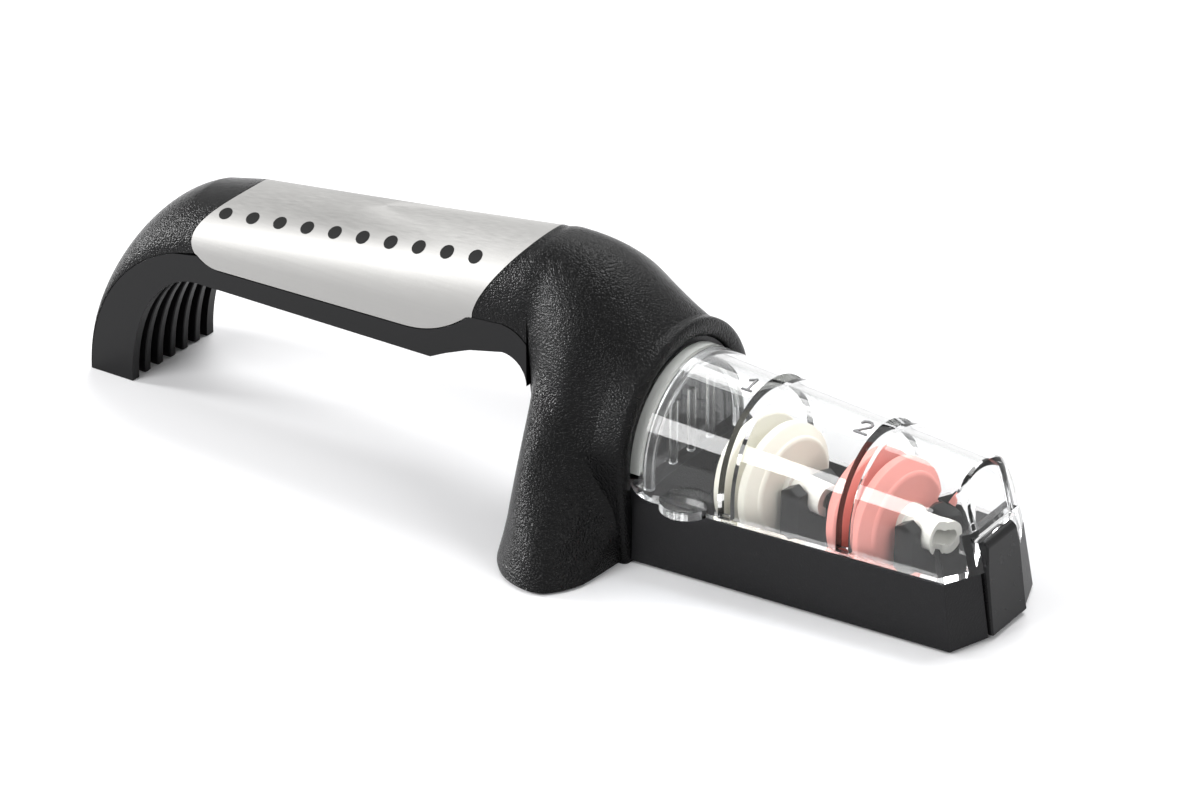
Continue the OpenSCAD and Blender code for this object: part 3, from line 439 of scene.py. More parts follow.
def bevel(obj, width_mm, segments=3, angle_deg=35):
    """Rounds the edges that turn by more than an angle."""
    mod = obj.modifiers.new("round", "BEVEL")
    mod.width = width_mm * MM
    mod.segments = segments
    mod.limit_method = "ANGLE"
    mod.angle_limit = math.radians(angle_deg)
    mod.harden_normals = True
    mod.miter_outer = "MITER_ARC"


def oval(cx, cz, rx, rz, a0, a1, steps):
    out = []
    for i in range(steps + 1):
        a = math.radians(lerp(a0, a1, i / steps))
        out.append((cx + rx * math.cos(a), cz + rz * math.sin(a)))
    return out


# Materials
def new_material(name):
    mat = bpy.data.materials.new(name)
    mat.use_nodes = True
    nodes, links = mat.node_tree.nodes, mat.node_tree.links
    return mat, nodes, links, nodes["Principled BSDF"]


def coords(nodes, links, scale=(1, 1, 1)):
    tex = nodes.new("ShaderNodeTexCoord")
    mapping = nodes.new("ShaderNodeMapping")
    mapping.inputs["Scale"].default_value = scale
    links.new(tex.outputs["Object"], mapping.inputs["Vector"])
    return mapping.outputs["Vector"]


def add_bump(nodes, links, bsdf, height, strength, distance_mm):
    bump = nodes.new("ShaderNodeBump")
    bump.inputs["Strength"].default_value = strength
    bump.inputs["Distance"].default_value = distance_mm * MM
    links.new(height, bump.inputs["Height"])
    links.new(bump.outputs["Normal"], bsdf.inputs["Normal"])


def plain(name, color, rough, metallic=0.0, specular=0.5, noise=0.0, noise_scale=400):
    mat, nodes, links, bsdf = new_material(name)
    bsdf.inputs["Base Color"].default_value = (*color, 1)
    bsdf.inputs["Roughness"].default_value = rough
    bsdf.inputs["Metallic"].default_value = metallic
    bsdf.inputs["Specular IOR Level"].default_value = specular
    tex = nodes.new("ShaderNodeTexNoise")
    tex.inputs["Scale"].default_value = noise_scale
    tex.inputs["Detail"].default_value = 4
    links.new(coords(nodes, links), tex.inputs["Vector"])
    spread = nodes.new("ShaderNodeMapRange")
    spread.inputs["To Min"].default_value = rough * 0.92
    spread.inputs["To Max"].default_value = min(1, rough * 1.08)
    links.new(tex.outputs["Fac"], spread.inputs["Value"])
    links.new(spread.outputs["Result"], bsdf.inputs["Roughness"])
    if noise:
        add_bump(nodes, links, bsdf, tex.outputs["Fac"], noise, 0.05)
    return mat


def grained(name, color, rough, cell_mm, depth_mm, strength, specular):
    """Moulded plastic with a fine leather grain."""
    mat, nodes, links, bsdf = new_material(name)
    bsdf.inputs["Base Color"].default_value = (*color, 1)
    bsdf.inputs["Roughness"].default_value = rough
    bsdf.inputs["Specular IOR Level"].default_value = specular
    vec = coords(nodes, links)
    cells = nodes.new("ShaderNodeTexVoronoi")
    cells.feature = "SMOOTH_F1"
    cells.inputs["Scale"].default_value = 1 / (cell_mm * MM)
    cells.inputs["Smoothness"].default_value = 0.35
    links.new(vec, cells.inputs["Vector"])
    fine = nodes.new("ShaderNodeTexNoise")
    fine.inputs["Scale"].default_value = 1.1 / (cell_mm * MM)
    fine.inputs["Detail"].default_value = 2
    links.new(vec, fine.inputs["Vector"])
    mix = nodes.new("ShaderNodeMath")
    mix.operation = "SUBTRACT"
    links.new(fine.outputs["Fac"], mix.inputs[0])
    links.new(cells.outputs["Distance"], mix.inputs[1])
    add_bump(nodes, links, bsdf, mix.outputs["Value"], strength, depth_mm)
    return mat


def brushed(name, color, rough):
    """Steel brushed along X."""
    mat, nodes, links, bsdf = new_material(name)
    bsdf.inputs["Metallic"].default_value = 1
    vec = coords(nodes, links, (4, 900, 900))
    streaks = nodes.new("ShaderNodeTexNoise")
    streaks.inputs["Scale"].default_value = 3
    streaks.inputs["Detail"].default_value = 6
    links.new(vec, streaks.inputs["Vector"])
    ramp = nodes.new("ShaderNodeMapRange")
    ramp.inputs["To Min"].default_value = rough * 0.8
    ramp.inputs["To Max"].default_value = rough * 1.25
    links.new(streaks.outputs["Fac"], ramp.inputs["Value"])
    links.new(ramp.outputs["Result"], bsdf.inputs["Roughness"])
    tint = nodes.new("ShaderNodeMix")
    tint.data_type = "RGBA"
    tint.inputs["A"].default_value = (*[c * 0.86 for c in color], 1)
    tint.inputs["B"].default_value = (*[min(1, c * 1.08) for c in color], 1)
    links.new(streaks.outputs["Fac"], tint.inputs["Factor"])
    links.new(tint.outputs["Result"], bsdf.inputs["Base Color"])
    bsdf.inputs["Anisotropic"].default_value = 0.4
    add_bump(nodes, links, bsdf, streaks.outputs["Fac"], 0.25, 0.03)
    return mat


def clear(name, color, rough, ior):
    """Clear plastic that lets lamp light through to what it covers."""
    mat, nodes, links, bsdf = new_material(name)
    bsdf.inputs["Base Color"].default_value = (*color, 1)
    bsdf.inputs["Roughness"].default_value = rough
    bsdf.inputs["IOR"].default_value = ior
    bsdf.inputs["Transmission Weight"].default_value = 1
    out = nodes["Material Output"]
    see = nodes.new("ShaderNodeBsdfTransparent")
    see.inputs["Color"].default_value = (0.93, 0.94, 0.95, 1)
    path = nodes.new("ShaderNodeLightPath")
    mix = nodes.new("ShaderNodeMixShader")
    links.new(path.outputs["Is Shadow Ray"], mix.inputs["Fac"])
    links.new(bsdf.outputs["BSDF"], mix.inputs[1])
    links.new(see.outputs["BSDF"], mix.inputs[2])
    links.new(mix.outputs["Shader"], out.inputs["Surface"])
    return mat


GRAIN = grained("grained_black", (0.002, 0.002, 0.0022), 0.24, cell_mm=0.45, depth_mm=0.16,
                strength=1.0, specular=0.13)
BOX = grained("box_black", (0.010, 0.010, 0.011), 0.38, cell_mm=0.42, depth_mm=0.06,
              strength=0.7, specular=0.18)
SATIN = plain("satin_black", (0.007, 0.007, 0.0075), 0.30, specular=0.18, noise=0.05)
STEEL = brushed("brushed_plate", (0.37, 0.366, 0.358), 0.54)
FILM = plain("bond_film", (0.02, 0.02, 0.02), 0.6)
SCREW = plain("screw_steel", (0.5, 0.5, 0.51), 0.32, metallic=1)
RUBBER = plain("pad_rubber", (0.02, 0.02, 0.02), 0.8, noise=0.1)
RACK = plain("rack_black", (0.004, 0.004, 0.004), 0.22, specular=0.2)
LATCH = plain("latch_black", (0.006, 0.006, 0.0065), 0.28, specular=0.2)
CLEAR = clear("clear_plastic", (0.935, 0.94, 0.94), 0.0, 1.42)
WHITE = plain("axle_white", (0.66, 0.65, 0.60), 0.45)
CERAMIC = plain("white_ceramic", (0.68, 0.66, 0.575), 0.62, noise=0.12, noise_scale=900)
PINK = plain("pink_ceramic", (0.66, 0.245, 0.21), 0.62, noise=0.12, noise_scale=900)
INK = plain("dot_ink", (0.006, 0.006, 0.006), 0.6, specular=0.15)
MOULDED = plain("moulded_digit", (0.10, 0.10, 0.105), 0.25)
# Opaque pale grey for the cover's rear edge band: a painted highlight standing in for the bright
# edge of the clear plastic
PAINTED_EDGE_HIGHLIGHT = plain("painted_edge_highlight", (0.50, 0.51, 0.49), 0.3)

NODE_MATERIAL = {
    "upper_shell": GRAIN, "lower_shell": SATIN, "handle_plate": STEEL, "plate_tape": FILM,
    "shell_screws": SCREW, "wheel_box": BOX, "box_screws": SCREW, "sole_plate": SATIN,
    "sole_screws": SCREW, "guard_pads": RUBBER, "nose_pad": RUBBER, "axle_rack": RACK,
    "rack_screws": SCREW, "nose_latch": LATCH, "latch_pin": SCREW, "clear_cover": CLEAR,
    "coarse_axle": WHITE, "coarse_rear_disc": CERAMIC, "coarse_front_disc": CERAMIC,
    "coarse_collars": WHITE, "fine_axle": WHITE, "fine_rear_disc": PINK,
    "fine_front_disc": PINK, "fine_collars": WHITE,
}
for node_name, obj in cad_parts.items():
    obj.data.materials.clear()
    obj.data.materials.append(NODE_MATERIAL[node_name])

# Grained upper shell
FOOT_N, FOOT_TURN_SHARE = 26, 0.87
BED_N, HANDLE_N, STATION_N = 40, 16, 8
EASED_STATIONS, EASE_SPREAD = 5, 1.8
FADE_IN_N, FADE_OUT_N = 6, 12
EDGE_STEP = 0.05
foot_rings = []
for i in range(FOOT_N + 1):
    t = turn_angle * FOOT_TURN_SHARE * i / FOOT_N
    foot_rings.append([foot_point(t, a, 0) for a in ANGLES]
                      + [foot_point(t, a, SHELL_T) for a in reversed(ANGLES)])
edge_share = SNUG / (plate_front_x - PLATE_SWEEP - plate_back_x)
brim_share = edge_share * 4 / 3


def bed_ring(share, depth):
    return ([bed_point(share, a, depth) for a in ANGLES]
            + [bed_point(share, a, SHELL_T) for a in reversed(ANGLES)])


bed_rings = [bed_ring(-brim_share, 0), bed_ring(-edge_share, PLATE_BED)]
bed_rings += [bed_ring(i / BED_N, PLATE_BED) for i in range(1, BED_N)]
bed_rings += [bed_ring(1 + edge_share, PLATE_BED), bed_ring(1 + brim_share, 0)]


def front_point(share, a, inset):
    x = lerp(plate_x(1 + brim_share, a), LEG_X - FILM_GAP, share)
    return handle_point(x, a, inset)


handle_rings = [[front_point(i / HANDLE_N, a, 0) for a in ANGLES]
                + [front_point(i / HANDLE_N, a, SHELL_T) for a in reversed(ANGLES)]
                for i in range(1, HANDLE_N + 1)]
guard_us = [i / STATION_N for i in range(STATION_N * FACE_ROW)] + [FACE_ROW - EDGE_STEP]
open_us = [FACE_ROW + i / STATION_N for i in range(2 * STATION_N + 1)]
guard_rings = [[guard_outer(u, j) for j in range(PATH_N + 1)]
               + [guard_inner(u, j) for j in range(PATH_N, -1, -1)] for u in guard_us]
guard_rings += [[guard_outer(u, j) for j in range(PATH_N + 1)]
                + [open_point(spline(GUARD_ROWS, u)[0], j, 0) for j in range(PATH_N, -1, -1)]
                for u in open_us]


def ease_turn(rings, first, last, spread):
    """Round the turn from the handle into the guard along X, above the seam."""
    eased = {}
    for j in range(SKIRT, PATH_N - SKIRT + 1):
        line = [rings[i][j] for i in range(len(rings))]
        for i in range(first, last):
            x = line[i][0]
            weights = [math.exp(-((p[0] - x) / spread) ** 2) if abs(p[0] - x) < 3 * spread else 0
                       for p in line]
            gaps = [0.5 * abs(line[min(k + 1, len(line) - 1)][0] - line[max(k - 1, 0)][0])
                    for k in range(len(line))]
            total = sum(w * g for w, g in zip(weights, gaps))
            fade = min(1.0, (i - first) / FADE_IN_N, (last - 1 - i) / FADE_OUT_N)
            y, z = (sum(w * g * p[c] for w, g, p in zip(weights, gaps, line)) / total
                    for c in (1, 2))
            eased[(i, j)] = (x, lerp(line[i][1], y, fade), lerp(line[i][2], z, fade))
    for (i, j), point in eased.items():
        rings[i][j] = point


shell_rings = foot_rings + bed_rings + handle_rings + guard_rings
turn_from = len(foot_rings) + len(bed_rings)
ease_turn(shell_rings, turn_from, turn_from + HANDLE_N + EASED_STATIONS * STATION_N,
          EASE_SPREAD)
shell = add_object("shell_skin", skin_mesh("shell_skin", shell_rings, 40), "base", GRAIN)
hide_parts("upper_shell")

# The rounded bead of the collar around the cover
BEAD_W, BEAD_RISE, BEAD_ROOT, BEAD_N, BEAD_POWER = 4.2, 1.5, 6.0, 12, 0.8


def bead_row(j):
    """The bead's section at one place along the opening: u grows away from the cover."""
    before, here, after = (open_point(GUARD_X, min(max(k, 0), PATH_N), 0)
                           for k in (j - 1, j, j + 1))
    run_y, run_z = after[1] - before[1], after[2] - before[2]
    length = math.hypot(run_y, run_z)
    out_y, out_z = -run_z / length, run_y / length
    section = [(0, -BEAD_ROOT)]
    for k in range(BEAD_N + 1):
        a = math.pi * k / BEAD_N
        section.append((BEAD_W / 2 * (1 - math.cos(a)), BEAD_RISE * math.sin(a) ** BEAD_POWER))
    section.append((BEAD_W, -BEAD_ROOT))
    return [(here[0] + h, here[1] + out_y * u, here[2] + out_z * u) for u, h in section]


bead_rows = [bead_row(j) for j in range(PATH_N + 1)]
bead_n = len(bead_rows[0])
bead_faces = [(i * bead_n + k, (i + 1) * bead_n + k, (i + 1) * bead_n + (k + 1) % bead_n,
               i * bead_n + (k + 1) % bead_n) for i in range(PATH_N) for k in range(bead_n)]
bead_faces += [tuple(range(bead_n)), tuple(PATH_N * bead_n + k for k in reversed(range(bead_n)))]
add_object("collar_bead", mesh_from("collar_bead", [p for row in bead_rows for p in row],
                                    bead_faces, 50), "base", GRAIN)

# Steel plate with its dots
FLANK_N, PLATE_N = 16, 60


def plate_ring(share, inset):
    flank = []
    for k in range(FLANK_N):
        t = (k / FLANK_N) ** 2
        rear = rear_edge(lerp(PLATE_LOW_H, seam_at(plate_back_x), t))
        x = lerp(rear, plate_front_x - PLATE_SWEEP - (1 - t) * GAP, share)
        low = min(low_edge(x), seam_at(x) - GAP)
        flank.append((x, HALF_W - inset, lerp(low, seam_at(x), t)))
    return ([(x, -y, z) for x, y, z in flank]
            + [bed_point(share, a, inset) for a in ANGLES]
            + [(x, y, z) for x, y, z in reversed(flank)])


plate_rings = []
for i in range(PLATE_N + 1):
    share = i / PLATE_N
    plate_rings.append(plate_ring(share, 0) + list(reversed(plate_ring(share, PLATE_T))))
plate = add_object("plate_skin", skin_mesh("plate_skin", plate_rings, 40), "base", STEEL)
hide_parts("handle_plate")

# Each dot is a thin raised disc: rings across its top, its edge and its root in the plate
DOT_COUNT, DOT_START, DOT_PITCH = 10, 0.2, 7.6
DOT_TURN, DOT_N = math.radians(48), 40
DOT_STEP, DOT_EDGE_R, DOT_ROOT_R = 0.35, 1.7, 1.6
DOT_PROUD, DOT_ROOT = 0.02, 0.06
dot_rings = [(DOT_STEP * k, -DOT_PROUD) for k in range(1, 5)]
dot_rings += [(DOT_EDGE_R, -DOT_PROUD), (DOT_ROOT_R, -DOT_PROUD / 2), (DOT_ROOT_R, DOT_ROOT)]
last_ring = len(dot_rings) - 1
for i in range(DOT_COUNT):
    x = plate_rear_x + DOT_START + DOT_PITCH * i
    verts = [handle_point(x, DOT_TURN, -DOT_PROUD)]
    for r, inset in dot_rings:
        for k in range(DOT_N):
            b = 2 * math.pi * k / DOT_N
            verts.append(handle_point(x + r * math.cos(b),
                                      DOT_TURN + r * math.sin(b) / HALF_W, inset))
    faces = [(0, 1 + k, 1 + (k + 1) % DOT_N) for k in range(DOT_N)]
    faces += [(1 + m * DOT_N + k, 1 + (m + 1) * DOT_N + k, 1 + (m + 1) * DOT_N + (k + 1) % DOT_N,
               1 + m * DOT_N + (k + 1) % DOT_N) for m in range(last_ring) for k in range(DOT_N)]
    faces.append(tuple(1 + last_ring * DOT_N + k for k in range(DOT_N - 1, -1, -1)))
    add_object(f"plate_dot_{i + 1}", mesh_from(f"plate_dot_{i + 1}", verts, faces), "base", INK)

# Smooth lower shell
SEAM_N, SEAM_KEPT, BEND_N = 48, 42, 12
UNDER_N, ARCH_N, FIN_N = 14, 40, 40
SEAM_STOPS = (-50, -20)
UNDER_SHARES = ((0.55, 0.7), (0.22, 0.31))


def below_seam(turn):
    """A point of the foot's seam, a snug gap inside it."""
    x, _, z = foot_point(turn, 0, 0)
    return (x + SNUG * math.cos(turn), z - SNUG * math.sin(turn))


seam_outline = [below_seam(turn_angle * i / SEAM_N) for i in range(SEAM_KEPT)]
seam_outline += [(x, seam_at(x) - SNUG) for x in (FOOT_X, *SEAM_STOPS, bend_x)]
seam_outline += [(lerp(bend_x, LEG_X - SNUG, i / BEND_N),
                  seam_at(lerp(bend_x, LEG_X, i / BEND_N)) - GAP) for i in range(1, BEND_N + 1)]
under_outline = oval(bend_x, UNDERSIDE_H, LEG_ARCH_H - SNUG, LEG_ARCH_H, 0, 90, UNDER_N)
under_outline += [(lerp(LOW_X, bend_x, k), UNDERSIDE_H + LEG_ARCH_H * rise)
                  for k, rise in UNDER_SHARES] + [(LOW_X, UNDERSIDE_H)]
arch_outline = oval(ARCH_X, 0, -ARCH_L, UNDERSIDE_H, 90, 0, ARCH_N)
WALL_IN = HALF_W - SHELL_T
RECESS_OVER, RECESS_PAST = 2.0, 1.0
RECESS_REAR_N, RECESS_LOW_N = 24, 40
recess_top = plate_tip_h + RECESS_OVER
recess_end = plate_front_x - PLATE_SWEEP + RECESS_PAST
rear_heights = [lerp(PLATE_LOW_H, recess_top, (i / RECESS_REAR_N) ** 2)
                for i in range(RECESS_REAR_N, -1, -1)]
low_places = [lerp(rear_edge(PLATE_LOW_H), recess_end, i / RECESS_LOW_N)
              for i in range(RECESS_LOW_N + 1)]
recess = [(rear_edge(z) - GAP, z) for z in rear_heights]
recess += [(x, low_edge(x) - GAP) for x in low_places]
recess += [(recess_end, recess_top)]
handle_outline = seam_outline + under_outline + arch_outline
for side, label in ((-1, "near"), (1, "far")):
    bed = prism_mesh("bed", recess, side * (HALF_W - PLATE_BED), side * (HALF_W + RECESS_OVER))
    cheek = add_object(f"handle_cheek_{label}", combined(
        "handle_cheek", prism_mesh("handle_cheek", handle_outline, side * HALF_W, side * WALL_IN),
        [("DIFFERENCE", bed)]), "base", SATIN)
    bevel(cheek, CHEEK_ROUND, segments=4)
    if side < 0:
        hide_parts("lower_shell")
PALM_T, PALM_BITE = 1.2 * SHELL_T, 0.4
floor_line = under_outline + [(ARCH_X, UNDERSIDE_H)]
palm_outline = floor_line + [(x, z + PALM_T) for x, z in reversed(floor_line)]
add_object("palm_floor", prism_mesh("palm_floor", palm_outline, -WALL_IN - PALM_BITE,
                                    WALL_IN + PALM_BITE), "base", SATIN)
FIN_COUNT, FIN_T, FIN_PAST = 5, 2.0, 2.0
fin_top = SEAM_H - SHELL_T
fin_outline = oval(FOOT_X, 0, -(SEAM_BACK_L - SHELL_T + BACK_BULGE - GAP), fin_top, 0,
                   math.degrees(turn_angle), FIN_N)
fin_outline += [(ARCH_X + FIN_PAST, fin_top), (ARCH_X + FIN_PAST, UNDERSIDE_H)] + arch_outline
for i in range(FIN_COUNT):
    y = ((i + 1) / (FIN_COUNT + 1) - 0.5) * (2 * HALF_W - SHELL_T)
    fin = add_object(f"grip_fin_{i + 1}", prism_mesh("grip_fin", fin_outline, y - FIN_T / 2,
                                                     y + FIN_T / 2), "base", SATIN)
    bevel(fin, FIN_ROUND, segments=2)
PANEL_HALF, PANEL_T, PANEL_STEP, PANEL_NOTCH_SHARE = LEG_HALF - SHELL_T - GAP, 3.0, 1.0, 0.6
panel = add_object("leg_panel", prism_mesh("leg_panel", [
    (LEG_X, SOLE_H), (LEG_X + PANEL_T, SOLE_H), (LEG_X + PANEL_T, UNDERSIDE_H + LEG_ARCH_H),
    (LEG_X - PANEL_STEP, UNDERSIDE_H + LEG_ARCH_H),
    (LEG_X - PANEL_STEP, UNDERSIDE_H + PANEL_NOTCH_SHARE * LEG_ARCH_H),
    (LEG_X, UNDERSIDE_H)], -PANEL_HALF, PANEL_HALF), "base", SATIN)
bevel(panel, PANEL_ROUND, segments=2)
# A filler where the handle's underside meets the guard, behind the smoothed skin
BROW_HALF, BROW_IN, BROW_OUT, BROW_LIFT = 12.6, 1.0, 1.8, 1.0
brow = add_object("leg_brow", box_mesh("leg_brow", LEG_X - BROW_IN, LEG_X + BROW_OUT, -BROW_HALF,
                                       BROW_HALF, UNDERSIDE_H + BROW_LIFT,
                                       seam_at(LEG_X) - 2 * GAP), "base", SATIN)
bevel(brow, BROW_ROUND, segments=2)

# Wheel box
RIM_H, BOX_T, SIDE_LEAN, NOSE_LEAN = 15.2, 2.2, 0.9, 2.5
BOX_NOSE_HALF, CORNER_L, FLAT_HALF, PROUD = 17.4, 4.5, 7.2, 0.8
LATCH_BACK = 5.4
LATCH_X = NOSE_X - LATCH_BACK
TROUGH_Z = SOLE_H + SHELL_T
CUT_HALF, CUT_END_X = 40.0, 150.0
BACK_PLATE_T, TONGUE_H = 2.35, 6.4
CHEEK_R, CHEEK_SINK, CHEEK_N = 6.0, 0.5, 16


def box_outline(back, inset, z):
    w0 = BOX_HALF - inset - SIDE_LEAN * z / RIM_H
    w1 = BOX_NOSE_HALF - inset - SIDE_LEAN * z / RIM_H
    nose_in = inset + NOSE_LEAN * z / RIM_H
    corner, front = NOSE_X - CORNER_L - nose_in, NOSE_X - nose_in - PROUD
    return [(back, -w0), (corner, -w1), (front, -FLAT_HALF), (front, FLAT_HALF),
            (corner, w1), (back, w0)]


def box_form(name, inset, z0, z1, back):
    return frustum_mesh(name, box_outline(back, inset, z0), box_outline(back, inset, z1), z0, z1)


trough_end = NOSE_X - (LATCH_BACK + 2 * GAP + BOX_T - PROUD)
trough_block = box_mesh("trough_end", 0, trough_end, -CUT_HALF, CUT_HALF, -OVERRUN, CUT_HALF)
trough = combined("trough", box_form("trough", BOX_T, TROUGH_Z, RIM_H + OVERRUN, GUARD_X + BOX_T),
                  [("INTERSECT", trough_block)])
CHANNEL_HALF = FLAT_HALF + GAP
channel = box_mesh("channel", LATCH_X - GAP, CUT_END_X, -CHANNEL_HALF, CHANNEL_HALF, -OVERRUN,
                   CUT_HALF)
box_mesh_cut = combined("wheel_trough", box_form("wheel_trough", 0, SOLE_H, RIM_H, GUARD_X),
                        [("DIFFERENCE", trough), ("DIFFERENCE", channel)])
wheel_trough = add_object("wheel_trough", box_mesh_cut, "base", BOX)
bevel(wheel_trough, TROUGH_ROUND)
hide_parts("wheel_box")
back_outline = [open_point(0, j, SNUG)[1:] for j in range(PATH_N + 1)]
back_plate = add_object("collar_plate", frustum_mesh(
    "collar_plate", back_outline, back_outline, 0, BACK_PLATE_T), "base", BOX)
back_plate.rotation_euler = (math.radians(90), 0, math.radians(90))
back_plate.location = ((GUARD_X - BACK_PLATE_T) * MM, 0, 0)
tongue = add_object("box_tongue", box_mesh("box_tongue", LEG_X + PANEL_T + SNUG, GUARD_X,
                                           -PANEL_HALF, PANEL_HALF, TROUGH_Z + SNUG,
                                           TROUGH_Z + SNUG + TONGUE_H), "base", BOX)
bevel(tongue, TONGUE_ROUND, segments=2)
for side, label in ((-1, "near"), (1, "far")):
    y = side * (BOX_HALF - SIDE_LEAN - BOX_T / 2)
    cheek_line = [(GUARD_X, RIM_H - CHEEK_SINK), (GUARD_X, RIM_H + CHEEK_R)]
    cheek_line += oval(GUARD_X + CHEEK_R, RIM_H + CHEEK_R, -CHEEK_R, -CHEEK_R, 0, 90,
                       CHEEK_N)[1:]
    cheek_line += [(GUARD_X + CHEEK_R, RIM_H - CHEEK_SINK)]
    add_object(f"rim_cheek_{label}", prism_mesh("rim_cheek", cheek_line, y - BOX_T / 2,
                                                y + BOX_T / 2), "base", BOX)

# Nose latch
LATCH_H, STEP, TOP_HALF = 21.6, 1.6, 5.8
LATCH_LEAN, LATCH_EDGE, LATCH_BACK_EDGE = 2.8, 1.0, 0.6
LATCH_BLOCK_XS = (90, 130)
low = SOLE_H + GAP
top_x = NOSE_X - LATCH_LEAN
latch_side = [(LATCH_X + STEP, low), (NOSE_X, low), (NOSE_X - GAP, low + LATCH_EDGE),
              (top_x, LATCH_H - LATCH_EDGE), (top_x - LATCH_EDGE, LATCH_H),
              (LATCH_X - STEP + GAP, LATCH_H),
              (LATCH_X - STEP, LATCH_H - LATCH_BACK_EDGE), (LATCH_X - STEP, RIM_H + 2 * GAP),
              (LATCH_X, RIM_H + 2 * GAP), (LATCH_X, low + STEP)]
latch_front = [(-FLAT_HALF, 0), (FLAT_HALF, 0), (FLAT_HALF - GAP, RIM_H),
               (TOP_HALF, LATCH_H + OVERRUN), (-TOP_HALF, LATCH_H + OVERRUN),
               (-FLAT_HALF + GAP, RIM_H)]
front_block = mesh_from("latch_front", [(x, y, z) for x in LATCH_BLOCK_XS for y, z in latch_front],
                        [tuple(range(6)), tuple(range(11, 5, -1))]
                        + [(i, i + 6, (i + 1) % 6 + 6, (i + 1) % 6) for i in range(6)])
latch = add_object("latch_block", combined(
    "latch_block", prism_mesh("latch_block", latch_side, -FLAT_HALF, FLAT_HALF),
    [("INTERSECT", front_block)]), "latch", LATCH)
bevel(latch, LATCH_ROUND)
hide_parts("nose_latch")

# Clear cover
COVER_T, NOSE_R, NOSE_H = 2.5, 16.2, 20.0
COVER_X, COVER_LOW = GUARD_X + GAP, RIM_H + GAP
COVER_L = NOSE_X - CORNER_L - NOSE_LEAN - COVER_X
SLOT_W, FLANGE_H, FLANGE_CATCH, LEAN = 3.0, 1.2, 0.4, 0.26
FINE_BACK, STAGE_L = 31.0, 28.0
FINE_X = NOSE_X - FINE_BACK
COARSE_X = FINE_X - STAGE_L
SIDE_N, ROUND_N, BACK_N, FRONT_N = 8, 72, 6, 10
REAR_STOPS = (0, 0.8, 1.7, 2.8, 4, 5.2, CHEEK_R)
FIRST_SPAN_N, SPAN_N = 6, 8
COVER_N = 2 * SIDE_N + ROUND_N


def cover_end(y, z, inset):
    front = NOSE_X - NOSE_LEAN - inset - LEAN * (z - COVER_LOW)
    return front - CORNER_L * max(0.0, abs(y) - FLAT_HALF) / (NOSE_R - inset - FLAT_HALF)


def cover_floor(x):
    d = min(CHEEK_R, max(0.0, x - COVER_X + GAP))
    return COVER_LOW + CHEEK_R - math.sqrt(CHEEK_R**2 - (CHEEK_R - d) ** 2)


def cover_ring(x, inset, foot):
    share = (x - COVER_X) / COVER_L
    r, h = lerp(COVER_R, NOSE_R, share) - inset, lerp(COVER_H, NOSE_H, share)
    sides = [lerp(foot, h, i / SIDE_N) for i in range(SIDE_N)]
    flange = [COVER_LOW + FLANGE_H if abs(z - COVER_LOW - FLANGE_H) < FLANGE_CATCH else z
              for z in sides]
    arc = [math.pi * i / ROUND_N for i in range(ROUND_N + 1)]
    return ([(x, -r, z) for z in flange]
            + [(x, -r * math.cos(a), h + r * math.sin(a)) for a in arc]
            + [(x, r, z) for z in reversed(flange)])


def end_rows(ring, steps, place):
    """Rows that close a ring's mouth down to its lower edge."""
    n = len(ring) - 1
    y0, y1, z0 = ring[0][1], ring[-1][1], ring[0][2]
    rows = []
    for i in range(1, steps + 1):
        s = i / steps
        row = []
        for j, (_, y, z) in enumerate(ring):
            yy, zz = lerp(y, lerp(y0, y1, j / n), s), lerp(z, z0, s)
            row.append((place(yy, zz), yy, zz))
        rows.append(row)
    return rows


slot_edges = sorted(x + k * SLOT_W / 2 for x in (COARSE_X, FINE_X) for k in (-1, 1))
last_edge = slot_edges[3]
span_shares = [i / SPAN_N for i in range(1, SPAN_N + 1)]
stations = [COVER_X + d for d in REAR_STOPS]
stations += [lerp(stations[-1], slot_edges[0], i / FIRST_SPAN_N)
             for i in range(1, FIRST_SPAN_N + 1)]
stations += [slot_edges[1]] + [lerp(slot_edges[1], slot_edges[2], k) for k in span_shares]
stations += [last_edge]


def cover_rows(inset, rear_x):
    rows = [cover_ring(x, inset, cover_floor(x)) for x in stations]
    rows = [[(max(x, rear_x), y, z) for x, y, z in row] for row in rows]
    for t in span_shares:
        row = []
        for _, y, z in cover_ring(last_edge, inset, COVER_LOW):
            x = lerp(last_edge, cover_end(y, z, inset), t)
            shares = [(place - COVER_X) / COVER_L for place in (last_edge, x)]
            r0, r1 = (lerp(COVER_R, NOSE_R, k) - inset for k in shares)
            h0, h1 = (lerp(COVER_H, NOSE_H, k) for k in shares)
            if z > h0:
                z = h1 + (z - h0) * r1 / r0
            else:
                z = lerp(COVER_LOW, h1, (z - COVER_LOW) / (h0 - COVER_LOW))
            row.append((x, y * r1 / r0, z))
        rows.append(row)
    nose = end_rows(rows[-1], FRONT_N, lambda y, z: cover_end(y, z, inset))
    back = end_rows(rows[0], BACK_N, lambda y, z: rear_x)
    return list(reversed(back)) + rows + nose


outer_rows, inner_rows = cover_rows(0, COVER_X), cover_rows(COVER_T, COVER_X + COVER_T)
open_spans = (BACK_N + stations.index(slot_edges[0]), BACK_N + stations.index(slot_edges[2]))


def keep_cover(i, j):
    return i not in open_spans or j < 1 or j >= COVER_N - 1


